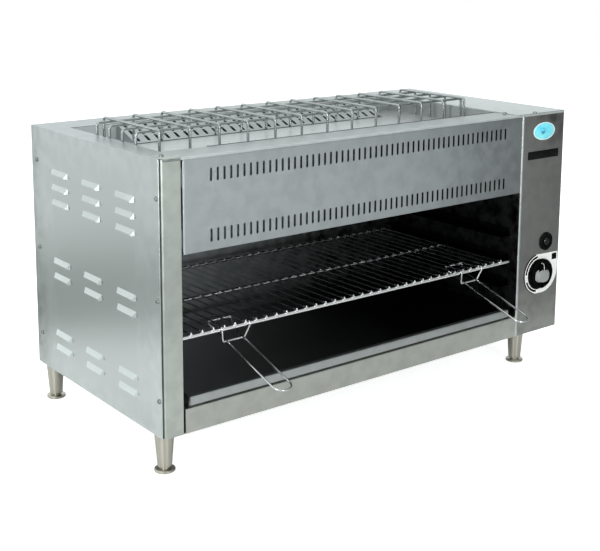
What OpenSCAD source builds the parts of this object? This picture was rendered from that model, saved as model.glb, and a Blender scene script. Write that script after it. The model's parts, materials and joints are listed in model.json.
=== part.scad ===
// Countertop cheese melter: a stainless steel cabinet with radiant elements under a slotted
// hood, a wire shelf with two lifting handles, a drip tray and a heat regulator.
// Sub-parts are drawn in the body's own coordinates: x from the left side, y back from the
// front face, z up from the underside of the body. Lengths are in millimetres.

/* [Body] */
// Overall width of the cabinet
body_w = 900; // [750:5:1200]
// Depth of the cabinet, front face to back panel
body_d = 430; // [358:1:560]
// Height of the cabinet above its legs
body_h = 429; // [357:1:520]
// Thickness of the sheet steel
sheet = 1.2; // [1:0.05:1.5]
// Width of the control compartment
control_w = 115.5; // [110:0.5:140]
// Width of the front post on the left
post_w = 36.5; // [34:0.5:42]
// Height of the bottom rail at the front
rail_h = 39.5; // [33:0.5:48]
// Height of the hood's front face
hood_h = 147; // [140:0.5:160]
// Air gap between the outer casing and the cavity lining
lining_gap = 18.8; // [15:0.1:20]

/* [Legs] */
// Height of the body above the surface
leg_h = 63; // [52:0.5:76]
// Diameter of a leg at the top
leg_top_d = 31; // [27:0.5:35]
// Diameter of a leg at the bottom
leg_end_d = 23; // [21:0.5:26]
// Diameter of the foot's disc
foot_d = 33; // [27:0.1:38]
// Inset of the legs from the left side
leg_inset_x = 17.5; // [16:0.5:22]
// Inset of the legs from the front and the back
leg_inset_y = 28; // [24:0.5:34]

/* [Vents] */
// Length of a hood slot
slot_l = 20.5; // [17:0.5:24]
// Width of a hood slot
slot_w = 4.2; // [3.5:0.1:5]
// Spacing of the hood slots
slot_pitch = 12.2; // [11:0.1:12.4]
// Number of slots in a row
slot_count = 54; // [20:1:54]
// Length of a side louvre
louvre_l = 57; // [48:0.5:68]
// Height of a side louvre
louvre_h = 10; // [8.5:0.5:12]
// How far a louvre stands out
louvre_out = 5; // [4:0.1:6]

/* [Top well] */
// Depth of the well in the top
well_depth = 28.5; // [24:0.5:34]
// Length of the well
well_l = 732; // [610:1:735]
// Width of the well, front to back
well_w = 298; // [285:1:300]
// Length of the slotted vent cover
cover_l = 563; // [470:1:600]
// Length of each vent cover slot
cover_slot_l = 18; // [15:0.5:19]
// Width of each vent cover slot
cover_slot_w = 6; // [5:0.1:7.2]
// Thickness of the guard's wire
guard_wire = 4.5; // [3.8:0.1:5.4]
// Height of the guard above the top
guard_rise = 22.5; // [19:0.5:27]
// Number of cross wires in the guard
guard_count = 13; // [5:1:14]

/* [Shelf] */
// Diameter of the shelf's carrying rods
rod_d = 6; // [5:0.1:7.2]
// Diameter of the shelf's close wires
wire_d = 3; // [2.5:0.1:3.6]
// Number of close wires
wire_count = 35; // [15:2:35]
// Height of the middle runner
runner_z = 151; // [140:0.5:170]
// Spacing of the runners
runner_pitch = 49; // [41:0.5:58]
// Height of a runner's channel
runner_h = 15; // [14:0.1:18]
// Depth of a runner's channel
runner_w = 22; // [20:0.5:26]

/* [Handles] */
// Thickness of the handle wire
handle_wire = 3.2; // [2.7:0.1:3.8]
// Distance from the front face to the tip of a handle
handle_reach = 126; // [105:1:151]
// Width between the grip's two wires
grip_w = 32; // [27:0.5:38]
// Slope of the grip, millimetres down per millimetre forward
grip_slope = 0.31; // [0.26:0.01:0.37]

/* [Drip tray] */
// Height of the tray's front lip
lip_h = 13.5; // [11.5:0.5:16]
// Side gap between the tray's lip and the front opening
tray_gap = 11.5; // [9.5:0.5:14]

/* [Controls] */
// Diameter of the knob's skirt
knob_d = 59; // [49:0.5:70]
// Height of the knob's axis
knob_z = 115; // [112:0.5:125]
// Diameter of the regulator's shaft
shaft_d = 6; // [5:0.1:7.2]
// Diameter of the pilot lamp's rim
pilot_d = 36; // [30:0.5:40]
// Height of the pilot lamp
pilot_z = 176.6; // [174:0.1:190]

/* [Heating] */
// Diameter of a heating element
element_d = 8.5; // [7:0.1:10]
// Width of an element's hairpin
hairpin_w = 40; // [33:0.5:48]
// Spacing of the hairpins
hairpin_pitch = 90; // [75:1:90]
// Thickness of the insulation blanket
blanket_t = 24; // [20:0.5:29]

/* [Fits] */
// Gap between pieces that move on each other
clearance = 0.3; // [0.2:0.05:0.4]
// Radial gap of a running fit
running = 0.06; // [0.03:0.01:0.09]
// Depth to which welded wires sink into each other
weld = 0.3; // [0.2:0.05:0.4]

/* [Hidden] */
$fn = 40;
bend_r = 5;
wire_sides = 10;
flange = 12;

// Front opening and cavity
open_x0 = post_w;
open_x1 = body_w - control_w;
hood_x0 = post_w + 3;
hood_x1 = open_x1 - 0.5;
hood_z = body_h - hood_h;
wall_x = lining_gap + sheet;
part_x = open_x1 + sheet;
lining_back = body_d - 65;
ceiling_z = hood_z + 15.2;
floor_z = rail_h;
post_return = 22;
post_x0 = 2.8;
post_bend = 2.4;
post_edge = 1.6;
panel_front = 4;
hood_edge_r = 3;
rail_return = 30;

// Well, vent cover and guard
well_x0 = (open_x1 - well_l) / 2 + 12.7;
well_x1 = well_x0 + well_l;
well_y0 = (body_d - well_w) / 2 - 6;
well_y1 = well_y0 + well_w;
well_z = body_h - well_depth;
cover_x0 = well_x0 + (well_l - cover_l) / 2 + 3.5;
cover_y0 = well_y1 - 68;
cover_run = well_y1 - cover_y0 - 0.5;
cover_rise = well_depth - 1.6;
cover_pitch = 20;
guard_r = guard_wire / 2;
guard_bend = 5;
guard_y0 = well_y0 + 56;
guard_y1 = cover_y0 + guard_wire + 1;
guard_x0 = well_x0 + 4;
guard_x1 = well_x1 - 8;
guard_z = body_h + guard_rise;
guard_foot = well_z + clearance;
guard_cover_foot = guard_foot + (guard_y1 + guard_r - cover_y0) * cover_rise / (cover_run - 2);
guard_inset_left = 27;
guard_inset_right = 18;
guard_long_z = guard_z - guard_wire + weld;
guard_long_rows = 4;

// Shelf and runners, the middle runners kept as far from the middle of the cavity
runner_mid_z = runner_z + (rail_h + hood_z) / 2 - 160.75;
rod_r = rod_d / 2;
shelf_z = runner_mid_z - runner_h / 2 + sheet + clearance + rod_r;
shelf_x0 = post_w + 1.5;
shelf_x1 = part_x - runner_w + 5.3;
rod_front_y = 12;
rod_back_y = lining_back - 20;
wires_z = shelf_z + rod_r + wire_d / 2 - weld;
wire_inset = 18.7;
wire_pitch = (shelf_x1 - shelf_x0 - 2 * wire_inset - 4.4) / (wire_count - 1);
runner_y0 = post_return + 1;
runner_y1 = lining_back - 12;

// Lifting handles
handle_r = handle_wire / 2;
handle_wires_in = 4;
hook_r = rod_r + handle_r + 0.55;
hook_half = 26.5;
bar_half = 20.5;
flare_half = 24.5;
grip_half = grip_w / 2;
grip_tip_y = handle_r - handle_reach;
grip_drop = 21.6;
knee_y = 37;
press_y = 56;
press_z = wires_z - wire_d / 2 - handle_r - clearance;
bar_y = 14;

// Drip tray
tray_lip_x0 = open_x0 + tray_gap;
tray_lip_x1 = open_x1 - tray_gap - 12;
tray_x0 = tray_lip_x0 + 2;
tray_x1 = tray_lip_x1 - 2;
tray_z = floor_z + clearance;
lip_z = floor_z + 4;
tray_front = 8;
tray_back = lining_back - 15;

// Controls
knob_x = open_x1 + 64;
pilot_x = knob_x + 13;
shaft_r = shaft_d / 2;
knob_gap = 1.5;
skirt_t = 6.5;
knob_depth = 14;
knob_bar_w = 24;
bezel_t = 1;
bezel_r = 39.5;
bezel_x0 = knob_x - 7;
bezel_x1 = knob_x + 7.5;
regulator_w = 46;
regulator_d = 38;
gland_x = knob_x - 6;
gland_z = 40;
gland_out = 20;
block_y = body_d - 50;

// Heating
element_r = element_d / 2;
element_z = hood_z + 2;
element_x0 = 60;
element_end = part_x + sheet + 14;
hairpins = 3;
hairpin_first = (lining_back - (hairpins - 1) * hairpin_pitch - hairpin_w) / 2 + 17.5;
bushing_r = element_r + 2.8;

// Side screws
screw_r = 2;
head_r = 4;
head_t = 2.2;
side_screw_y = [12, body_d - 18];
side_screw_z = [0.135 * body_h, body_h / 2, body_h - 59];
ear_x = 18;
ear_y = 25;
back_screw_x = [100, body_w / 2, open_x1 - 84];
back_low_z = 10;
back_high_z = body_h - 14;
top_screws = [[open_x1 - 6, 40], [open_x1 + 50, 8]];

// Cabinet position: the box of the whole object is centred on the origin
front_y = (handle_reach - body_d - gland_out) / 2;

// ---- Placing and common shapes ----

module body_frame() { translate([-body_w / 2, front_y, leg_h]) children(); }

module block(lo, hi) { translate(lo) cube(hi - lo); }

module along_x(p, r, l) { translate(p) rotate([0, 90, 0]) cylinder(r = r, h = l); }

module along_y(p, r, l) { translate(p) rotate([-90, 0, 0]) cylinder(r = r, h = l); }

// Mirrors its children from the left side of the cabinet to the right
module mirrored_side() { translate([body_w, 0, 0]) mirror([1, 0, 0]) children(); }

function unit(v) = v / norm(v);

// Points of an arc in a plane
function arc(c, r, a0, a1, n) =
    [for (k = [0:n]) c + r * [cos(a0 + (a1 - a0) * k / n), sin(a0 + (a1 - a0) * k / n)]];

// Points of the round that replaces corner b between a and c
function corner(a, b, c, r, n) =
    let (u = unit(a - b), w = unit(c - b), h = acos(u * w) / 2,
         m = b + unit(u + w) * r / sin(h), s = b + u * r / tan(h) - m, e = b + w * r / tan(h) - m,
         turn = 180 - 2 * h)
    [for (k = [0:n]) m + (s * sin(turn * (1 - k / n)) + e * sin(turn * k / n)) / sin(turn)];

// Rounds every inner corner of an open path
function rounded(p, radii, n) =
    concat([p[0]],
        [for (i = [1:len(p) - 2]) each corner(p[i - 1], p[i], p[i + 1], radii[i - 1], n)],
        [p[len(p) - 1]]);

// Rounds every corner of a closed path
function rounded_loop(p, radii, n) =
    let (m = len(p))
    [for (i = [0:m - 1]) each corner(p[(i + m - 1) % m], p[i], p[(i + 1) % m], radii[i], n)];

function direction(p, i, closed) =
    let (n = len(p), before = closed ? (i + n - 1) % n : max(i - 1, 0),
         after = closed ? (i + 1) % n : min(i + 1, n - 1),
         u = before == i ? [0, 0, 0] : unit(p[i] - p[before]),
         w = after == i ? [0, 0, 0] : unit(p[after] - p[i]))
    unit(u + w);

// Carries a side vector along the path without twist
function carried(t, side, i = 0) =
    i >= len(t) ? [] :
    let (s = unit(side - (side * t[i]) * t[i])) concat([s], carried(t, s, i + 1));

// Round wire bent along a path
module wire(p, r, side, closed = false) {
    n = len(p);
    t = [for (i = [0:n - 1]) direction(p, i, closed)];
    s = carried(t, side);
    points = [for (i = [0:n - 1]) let (q = cross(t[i], s[i]))
        for (k = [0:wire_sides - 1])
            p[i] + r * (cos(360 * k / wire_sides) * s[i] + sin(360 * k / wire_sides) * q)];
    bands = [for (i = [0:n - (closed ? 1 : 2)]) for (k = [0:wire_sides - 1])
        let (a = i * wire_sides, b = ((i + 1) % n) * wire_sides, m = (k + 1) % wire_sides)
        [a + k, b + k, b + m, a + m]];
    caps = closed ? [] : [
        [for (k = [0:wire_sides - 1]) k],
        [for (k = [0:wire_sides - 1]) n * wire_sides - 1 - k]];
    polyhedron(points, concat(bands, caps));
}

// Wire bent down at both ends, running along x from the origin
module staple(span, drops, r, bend) {
    along_x([bend, 0, 0], r, span - 2 * bend);
    for (end = [0, 1])
        translate([end * span, 0, 0]) mirror([end, 0, 0]) {
            translate([bend, 0, -bend]) rotate([90, 0, 0]) rotate([0, 0, 90])
                rotate_extrude(angle = 90) translate([bend, 0]) circle(r);
            translate([0, 0, -drops[end]]) cylinder(r = r, h = drops[end] - bend);
        }
}

module slot_outline(l, w) {
    translate([0, (l - w) / 2]) circle(w / 2);
    translate([0, -(l - w) / 2]) circle(w / 2);
    square([w, l - w], center = true);
}

module pan_head() {
    cylinder(r = screw_r, h = 7);
    translate([0, 0, -head_t]) cylinder(r1 = head_r * 0.72, r2 = head_r, h = head_t);
}

module side_screw_places() {
    for (y = side_screw_y, z = side_screw_z) translate([0, y, z]) rotate([0, 90, 0]) children();
}

module back_screw_places() {
    for (x = back_screw_x, z = [back_low_z, back_high_z])
        translate([x, body_d, z]) rotate([90, 0, 0]) children();
}

module top_screw_places() {
    for (p = top_screws) translate([p.x, p.y, body_h + sheet]) rotate([180, 0, 0]) children();
}

module ear_screw_place() {
    translate([ear_x, ear_y, body_h + sheet]) rotate([180, 0, 0]) children();
}

module screw_hole() { translate([0, 0, -9]) cylinder(r = screw_r + 0.1, h = 18); }

// ---- Casing ----

louvre_columns = [for (c = [-1:1]) body_d / 2 - 0.5 + c * 110 * body_d / 430];
louvre_rows = [for (z = [49.5, 75, 177, 203.5, 306, 332, 358]) z * body_h / 429];

module louvre_form(l, h, out) {
    intersection() {
        translate([0, l / 2, 0]) rotate([90, 0, 0])
            linear_extrude(l)
                polygon([[0.5, h / 2], [0, h / 2], [-out, -h / 2 + 2], [-out, -h / 2], [0.5, -h / 2]]);
        translate([0, 0, -h / 2]) linear_extrude(h)
            polygon([[0.5, -l / 2], [0, -l / 2], [-out, out - l / 2], [-out, l / 2 - out], [0, l / 2],
                     [0.5, l / 2]]);
    }
}

module louvre_places() {
    for (y = louvre_columns, z = louvre_rows) translate([0, y, z]) children();
}

module louvred_side() {
    color("#c3cbcc") difference() {
        union() {
            linear_extrude(body_h) polygon(concat(
                [[sheet, body_d], [0, body_d]],
                arc([sheet / 2, panel_front + sheet / 2], sheet / 2, 180, 360, 6)));
            louvre_places() louvre_form(louvre_l, louvre_h, louvre_out);
        }
        louvre_places() translate([sheet + 0.2, 0, -sheet - 0.2])
            louvre_form(louvre_l - 3 * sheet, louvre_h, louvre_out);
        louvre_places()
            block([0.2, -louvre_l / 2 + 3, -louvre_h / 2], [3, louvre_l / 2 - 3, louvre_h / 2 - 2]);
        side_screw_places() screw_hole();
    }
}

module left_side_panel() { body_frame() louvred_side(); }

module right_side_panel() {
    body_frame() mirrored_side() color("#c3cbcc") difference() {
        union() {
            block([0, 0, 0], [sheet, body_d, body_h]);
            louvre_places() louvre_form(louvre_l, louvre_h, louvre_out);
        }
        louvre_places() translate([sheet + 0.2, 0, -sheet - 0.2])
            louvre_form(louvre_l - 3 * sheet, louvre_h, louvre_out);
        louvre_places()
            block([0.2, -louvre_l / 2 + 3, -louvre_h / 2], [3, louvre_l / 2 - 3, louvre_h / 2 - 2]);
        side_screw_places() screw_hole();
    }
}

module back_panel() {
    vent_rows = [0.25, 0.72];
    body_frame() color("#b9c0c2") difference() {
        union() {
            block([sheet, body_d - sheet, 0], [body_w - sheet, body_d, body_h]);
            for (x = [sheet, body_w - 2 * sheet])
                block([x, body_d - 30, sheet], [x + sheet, body_d - sheet, body_h - sheet]);
        }
        translate([0, body_d + 1, 0]) rotate([90, 0, 0]) linear_extrude(sheet + 2)
            for (row = vent_rows, k = [-12:12])
                translate([open_x1 / 2 + k * 22, row * body_h]) slot_outline(36, 5);
        along_y([gland_x, body_d - 3, gland_z], 8.1, 6);
        side_screw_places() screw_hole();
        mirrored_side() side_screw_places() screw_hole();
        back_screw_places() screw_hole();
    }
}

module base_pan() {
    body_frame() color("#aab0b2") difference() {
        union() {
            block([sheet, sheet, 0], [body_w - sheet, body_d - sheet, sheet]);
            block([sheet * 3, body_d - 2 * sheet, 0], [body_w - 3 * sheet, body_d - sheet, 20]);
        }
        block([0, 0, -1], [post_x0 + post_bend + 1, post_bend + 0.5, 3]);
        block([post_w - post_edge - 1, 0, -1], [post_w + 1, post_edge + 0.5, 3]);
        leg_places() translate([0, 0, -1]) cylinder(r = 4.1, h = 4);
        back_screw_places() screw_hole();
        translate([0, 0, -1]) linear_extrude(4)
            for (k = [-8:8]) translate([open_x1 + control_w / 2 + k * 6, body_d / 2]) slot_outline(60, 3);
    }
}

module left_front_post() {
    step_y = panel_front + 4;
    left = [post_x0 + post_bend, post_bend];
    right = [post_w - post_edge, post_edge];
    face = concat(arc(left, post_bend, 180, 270, 5), arc(right, post_edge, 270, 360, 4));
    inner_face = concat(arc(right, post_edge - sheet, 360, 270, 4), arc(left, post_bend - sheet, 270, 180, 5));
    body_frame() color("#a9b0a9") difference() {
        union() {
            linear_extrude(body_h) polygon(concat(face, inner_face));
            translate([0, 0, sheet]) linear_extrude(body_h - 2 * sheet) polygon(concat(
                [[sheet, post_return], [sheet, step_y], [post_x0, step_y]], face,
                [[post_w, post_return], [post_w - sheet, post_return]], inner_face,
                [[post_x0 + sheet, step_y + sheet], [2 * sheet, step_y + sheet], [2 * sheet, post_return]]));
            translate([left.x, 0, 0]) rotate([90, 0, 90]) linear_extrude(right.x - left.x) polygon(concat(
                [[0, body_h - sheet]], arc([2, body_h + sheet - 2], 2, 180, 90, 4),
                [[14, body_h + sheet], [14, body_h], [sheet, body_h], [sheet, body_h - sheet]]));
            block([8, 10, body_h], [28, 30, body_h + sheet]);
            translate([ear_x, 30, body_h]) cylinder(r = 10, h = sheet);
        }
        ear_screw_place() screw_hole();
        side_screw_places() screw_hole();
    }
}

module bottom_front_rail() {
    rail_x0 = post_w + 2.6;
    body_frame() color("#a9b0a9") {
        translate([rail_x0, 0, 0]) rotate([90, 0, 90]) linear_extrude(hood_x1 - rail_x0) polygon(concat(
            [[0, 0]], arc([2, rail_h - 2], 2, 180, 90, 4),
            [[rail_return, rail_h], [rail_return, rail_h - sheet]],
            arc([2, rail_h - 2], 2 - sheet, 90, 180, 4),
            [[sheet, 2 * sheet], [rail_return, 2 * sheet], [rail_return, sheet], [sheet, sheet],
             [sheet, 0]]));
    }
}

module hood_slots() {
    first_x = hood_x0 + (hood_x1 - hood_x0) / 2 - (slot_count - 1) / 2 * slot_pitch + 0.45;
    for (z = [body_h - 30.8, hood_z + 23], i = [0:slot_count - 1])
        translate([first_x + i * slot_pitch, z]) slot_outline(slot_l, slot_w);
}

module top_hood() {
    body_frame() color("#a3a9ad") difference() {
        union() {
            translate([hood_x0, 0, 0]) rotate([90, 0, 90]) linear_extrude(hood_x1 - hood_x0)
                polygon(concat(
                    [[flange, hood_z], [0, hood_z]],
                    arc([bend_r, body_h - bend_r], bend_r, 180, 90, 6),
                    [[well_y0, body_h], [well_y0, body_h - sheet]],
                    arc([bend_r, body_h - bend_r], bend_r - sheet, 90, 180, 6),
                    [[sheet, hood_z + sheet], [flange, hood_z + sheet]]));
            translate([0, 0, hood_z]) linear_extrude(hood_h - bend_r) polygon(concat(
                [[hood_x0, flange]], arc([hood_x0 + hood_edge_r, hood_edge_r], hood_edge_r, 180, 270, 6),
                arc([hood_x0 + hood_edge_r, hood_edge_r], hood_edge_r - sheet, 270, 180, 6),
                [[hood_x0 + sheet, flange]]));
            difference() {
                block([sheet, bend_r + 3, body_h - sheet], [hood_x1, body_d - sheet, body_h]);
                block([well_x0, well_y0, body_h - 3], [well_x1, well_y1, body_h + 2]);
            }
            block([sheet * 3, body_d - 2 * sheet, body_h - 24], [hood_x1, body_d - sheet, body_h]);
        }
        translate([0, 2, 0]) rotate([90, 0, 0]) linear_extrude(4) hood_slots();
        translate([0, 0, hood_z - 1]) linear_extrude(hood_h - bend_r + 1) polygon(concat(
            [[hood_x0 - 1, -1], [hood_x0 - 1, hood_edge_r]],
            arc([hood_x0 + hood_edge_r, hood_edge_r], hood_edge_r, 180, 270, 6),
            [[hood_x0 + hood_edge_r, -1]]));
        ear_screw_place() screw_hole();
        translate([top_screws[0].x, top_screws[0].y, body_h]) screw_hole();
        back_screw_places() screw_hole();
    }
}

module vent_well() {
    rim = 8;
    body_frame() color("#b4babb") difference() {
        union() {
            block([well_x0 - rim, well_y0 - rim, body_h - 2 * sheet],
                  [well_x1 + rim, well_y1 + rim, body_h - sheet]);
            block([well_x0 - sheet, well_y0 - sheet, well_z - sheet],
                  [well_x1 + sheet, well_y1 + sheet, body_h - sheet]);
        }
        block([well_x0, well_y0, well_z], [well_x1, well_y1, body_h]);
        block([cover_x0 + 12, cover_y0 + 12, well_z - 3],
              [cover_x0 + cover_l - 12, well_y1 - 10, well_z + 3]);
    }
}

module vent_cover() {
    slots_in_row = floor((cover_l - 20) / cover_pitch) + 1;
    slope = atan2(cover_rise, cover_run);
    slant = norm([cover_rise, cover_run]);
    body_frame() translate([cover_x0, cover_y0, well_z]) color("#bdc3c4") difference() {
        rotate([90, 0, 90]) linear_extrude(cover_l)
            polygon([[0, 0], [cover_run, 0], [cover_run, cover_rise], [cover_run - 2, cover_rise]]);
        translate([sheet, 0, 0]) rotate([90, 0, 90]) linear_extrude(cover_l - 2 * sheet)
            polygon([[4, -1], [cover_run - 1.5, -1], [cover_run - 1.5, cover_rise - 2.2], [4, 0.3]]);
        rotate([slope, 0, 0]) translate([0, 0, -6]) linear_extrude(12)
            for (row = [0.23, 0.52, 0.81], i = [0:slots_in_row - 1])
                translate([cover_l / 2 + (i - (slots_in_row - 1) / 2) * cover_pitch, row * slant])
                    slot_outline(cover_slot_l, cover_slot_w);
    }
}

module control_panel() {
    body_frame() color("#8a8d8c") difference() {
        union() {
            block([open_x1 + 2, 0, 0], [body_w - sheet, sheet, sheet]);
            translate([0, 0, sheet]) linear_extrude(body_h - sheet) polygon(concat(
                [[open_x1, 20]], arc([open_x1 + 2, 2], 2, 180, 270, 4),
                [[body_w - sheet, 0], [body_w - sheet, 24], [body_w - 2 * sheet, 24],
                 [body_w - 2 * sheet, sheet]],
                arc([open_x1 + 2, 2], 2 - sheet, 270, 180, 4), [[open_x1 + sheet, 20]]));
        }
        along_y([knob_x, -1, knob_z], 6.1, 4);
        along_y([pilot_x, -1, pilot_z], 11.1, 4);
        mirrored_side() side_screw_places() screw_hole();
    }
}

module control_top() {
    body_frame() color("#c5cac9") difference() {
        block([open_x1 - 12.5, 0, body_h], [body_w, body_d, body_h + sheet]);
        top_screw_places() screw_hole();
    }
}

module panel_screws() {
    body_frame() color("#d5d8d8") {
        side_screw_places() pan_head();
        mirrored_side() side_screw_places() pan_head();
        back_screw_places() pan_head();
        top_screw_places() pan_head();
        ear_screw_place() pan_head();
    }
}

// ---- Cavity ----

element_ys = [for (k = [0:hairpins - 1]) for (side = [0, 1])
    hairpin_first + k * hairpin_pitch + side * hairpin_w];

module partition() {
    body_frame() color("#4a4d4e") difference() {
        block([part_x, 3, sheet], [part_x + sheet, body_d - 2 * sheet, body_h - 2 * sheet]);
        for (y = element_ys) along_x([part_x - 1, y, element_z], bushing_r + 0.05, sheet + 2);
    }
}

module cavity_left_wall() {
    body_frame() color("#4a4d4e")
        block([lining_gap, post_return, floor_z - flange], [wall_x, lining_back + sheet, ceiling_z + sheet]);
}

module cavity_back_wall() {
    body_frame() color("#4a4d4e")
        block([wall_x, lining_back, sheet], [part_x, lining_back + sheet, ceiling_z]);
}

module cavity_floor() {
    body_frame() color("#55585a")
        block([wall_x, rail_return, floor_z - sheet], [part_x, lining_back, floor_z]);
}

module reflector() {
    body_frame() color("#8e9193") {
        translate([wall_x, 0, 0]) rotate([90, 0, 90]) linear_extrude(part_x - wall_x)
            polygon([[runner_y0, ceiling_z + sheet], [runner_y0, ceiling_z - flange],
                     [runner_y0 + sheet, ceiling_z - flange], [runner_y0 + sheet, ceiling_z],
                     [lining_back + sheet, ceiling_z],
                     [lining_back + sheet, ceiling_z + sheet]]);
    }
}

module insulation_blanket() {
    body_frame() color("#d8d2bd")
        block([wall_x, rail_return, ceiling_z + sheet],
              [part_x, lining_back, ceiling_z + sheet + blanket_t]);
}

module runner_set() {
    for (k = [-1:1]) translate([0, 0, runner_mid_z + k * runner_pitch - runner_h / 2]) difference() {
        rotate([90, 0, 90]) linear_extrude(runner_w)
            polygon([[runner_y0, 0], [runner_y1, 0], [runner_y1, runner_h], [runner_y0 + 4, runner_h]]);
        block([sheet, 0, sheet], [runner_w + 1, body_d, runner_h - sheet]);
    }
}

module left_runners() { body_frame() translate([wall_x, 0, 0]) color("#6d7072") runner_set(); }

module right_runners() {
    body_frame() translate([part_x, 0, 0]) mirror([1, 0, 0]) color("#6d7072") runner_set();
}

module tray_guides() {
    guide_x = tray_x0 - clearance;
    mid = (tray_x0 + tray_x1) / 2;
    body_frame() color("#6d7072") for (side = [0, 1])
        translate([mid, 0, 0]) mirror([side, 0, 0]) translate([-mid, 0, 0])
            rotate([90, 0, 0]) translate([0, 0, -tray_back]) linear_extrude(tray_back - rail_return)
                polygon([[guide_x - flange, floor_z], [guide_x, floor_z], [guide_x, floor_z + flange],
                         [guide_x - sheet, floor_z + flange], [guide_x - sheet, floor_z + sheet],
                         [guide_x - flange, floor_z + sheet]]);
}

// ---- Heating ----

module heating_elements() {
    bend = hairpin_w / 2;
    body_frame() color("#3c3b3a") for (k = [0:hairpins - 1])
        translate([0, hairpin_first + k * hairpin_pitch, element_z]) {
            translate([element_x0 + bend, bend, 0]) rotate([0, 0, 90])
                rotate_extrude(angle = 180) translate([bend, 0]) circle(element_r);
            for (y = [0, hairpin_w]) {
                along_x([element_x0 + bend, y, 0], element_r, element_end - element_x0 - bend);
                along_x([element_end, y, 0], 1.5, 10);
            }
        }
}

module element_supports() {
    body_frame() color("#7d7f80") for (share = [0.33, 0.67]) {
        x = open_x1 * share;
        difference() {
            block([x, hairpin_first - 20, element_z - 7], [x + sheet, max(element_ys) + 20, ceiling_z]);
            for (y = element_ys) along_x([x - 1, y, element_z], element_r + 0.1, sheet + 2);
        }
    }
}

module element_bushings() {
    body_frame() color("#e6e1d6") for (y = element_ys) difference() {
        union() {
            along_x([part_x - 2, y, element_z], bushing_r + 2.5, 2);
            along_x([part_x - 1, y, element_z], bushing_r, sheet + 5);
        }
        along_x([part_x - 3, y, element_z], element_r + 0.05, sheet + 12);
    }
}

// ---- Controls ----

module energy_regulator() {
    half = regulator_w / 2;
    body_frame() translate([knob_x, 0, knob_z]) color("#d9d4c4") difference() {
        union() {
            block([-half, sheet, -half], [half, sheet + regulator_d, half]);
            along_y([0, -knob_gap - 1, 0], 6, knob_gap + sheet + 2);
            for (x = [-12, 12], z = [-12, 0, 12])
                block([x - 3, sheet + regulator_d - 1, z - 0.4], [x + 3, sheet + regulator_d + 8, z + 0.4]);
        }
        along_y([0, -10, 0], shaft_r + running, 40);
    }
}

module regulator_shaft() {
    body_frame() color("#c9b26a") along_y([knob_x, 4 - knob_depth, knob_z], shaft_r, knob_depth + 22);
}

module control_knob() {
    skirt_r = knob_d / 2;
    bar_top = skirt_r - 3.5;
    bar_foot = -skirt_r * 0.58;
    bar_r = knob_bar_w / 2;
    face = knob_depth - knob_gap;
    body_frame() translate([knob_x, -knob_gap, knob_z]) color("#1c1c1e") difference() {
        union() {
            rotate([90, 0, 0]) rotate_extrude() polygon(concat(
                [[0, 0], [skirt_r, 0], [skirt_r, skirt_t * 0.45]],
                arc([skirt_r - 2.5, skirt_t - 2.5], 2.5, 0, 90, 5), [[0, skirt_t]]));
            intersection() {
                rotate([90, 0, 0]) translate([0, 0, 1]) linear_extrude(face) union() {
                    translate([0, bar_top - bar_r * 0.7]) circle(bar_r * 0.7);
                    polygon([[-bar_r * 0.7, bar_top - bar_r * 0.7], [bar_r * 0.7, bar_top - bar_r * 0.7],
                             [bar_r, 0], [bar_r, bar_foot + 5], [bar_r - 5, bar_foot],
                             [5 - bar_r, bar_foot], [-bar_r, bar_foot + 5], [-bar_r, 0]]);
                }
                translate([-20, 0, 0]) rotate([90, 0, 90]) linear_extrude(40) polygon([
                    [-1, bar_foot - 1], [-face + 1.5, bar_foot - 1], [-face, bar_foot + 2], [-face, -1],
                    [-skirt_t - 3.5, 6], [-skirt_t - 2, bar_top + 1], [-1, bar_top + 1]]);
            }
        }
        along_y([0, -1.5, 0], 8, 4);
        along_y([0, 4 - knob_depth + knob_gap, 0], shaft_r, knob_depth);
    }
}

module knob_bezel() {
    body_frame() translate([0, 0, knob_z - 2.5]) rotate([90, 0, 0]) color("#c9cdd0") linear_extrude(bezel_t)
        difference() {
            polygon(concat(
                arc([bezel_x0, 0], bezel_r, 90, 270, 24), arc([bezel_x1, 0], bezel_r, 270, 360, 12),
                [[bezel_x1 + bezel_r, bezel_r]]));
            translate([knob_x, 2.5]) circle(8);
        }
}

module pilot_bezel() {
    body_frame() translate([pilot_x, 0, pilot_z]) color("#202224") difference() {
        union() {
            rotate([90, 0, 0]) rotate_extrude() polygon([
                [0, -28], [11, -28], [11, 0], [pilot_d / 2, 0], [pilot_d / 2, 2], [pilot_d / 2 - 2, 3.3],
                [0, 3.3]]);
        }
        along_y([0, -5, 0], 7.6, 20);
    }
}

module pilot_lens() {
    body_frame() translate([pilot_x, 0, pilot_z]) color("#4a1410") rotate([90, 0, 0]) rotate_extrude()
        polygon(concat([[0, -15], [7.5, -15], [7.5, 2]], arc([5.5, 2], 2, 0, 90, 4), [[0, 4.4]]));
}

module terminal_block() {
    body_frame() translate([gland_x, block_y, sheet]) color("#e8e6de") difference() {
        union() {
            block([-22, -13, 0], [22, 13, 14]);
            block([-22, -7, 14], [22, 7, 22]);
        }
        for (x = [-14, 0, 14]) translate([x, 0, 12]) cylinder(r = 2.6, h = 20);
    }
}

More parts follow.
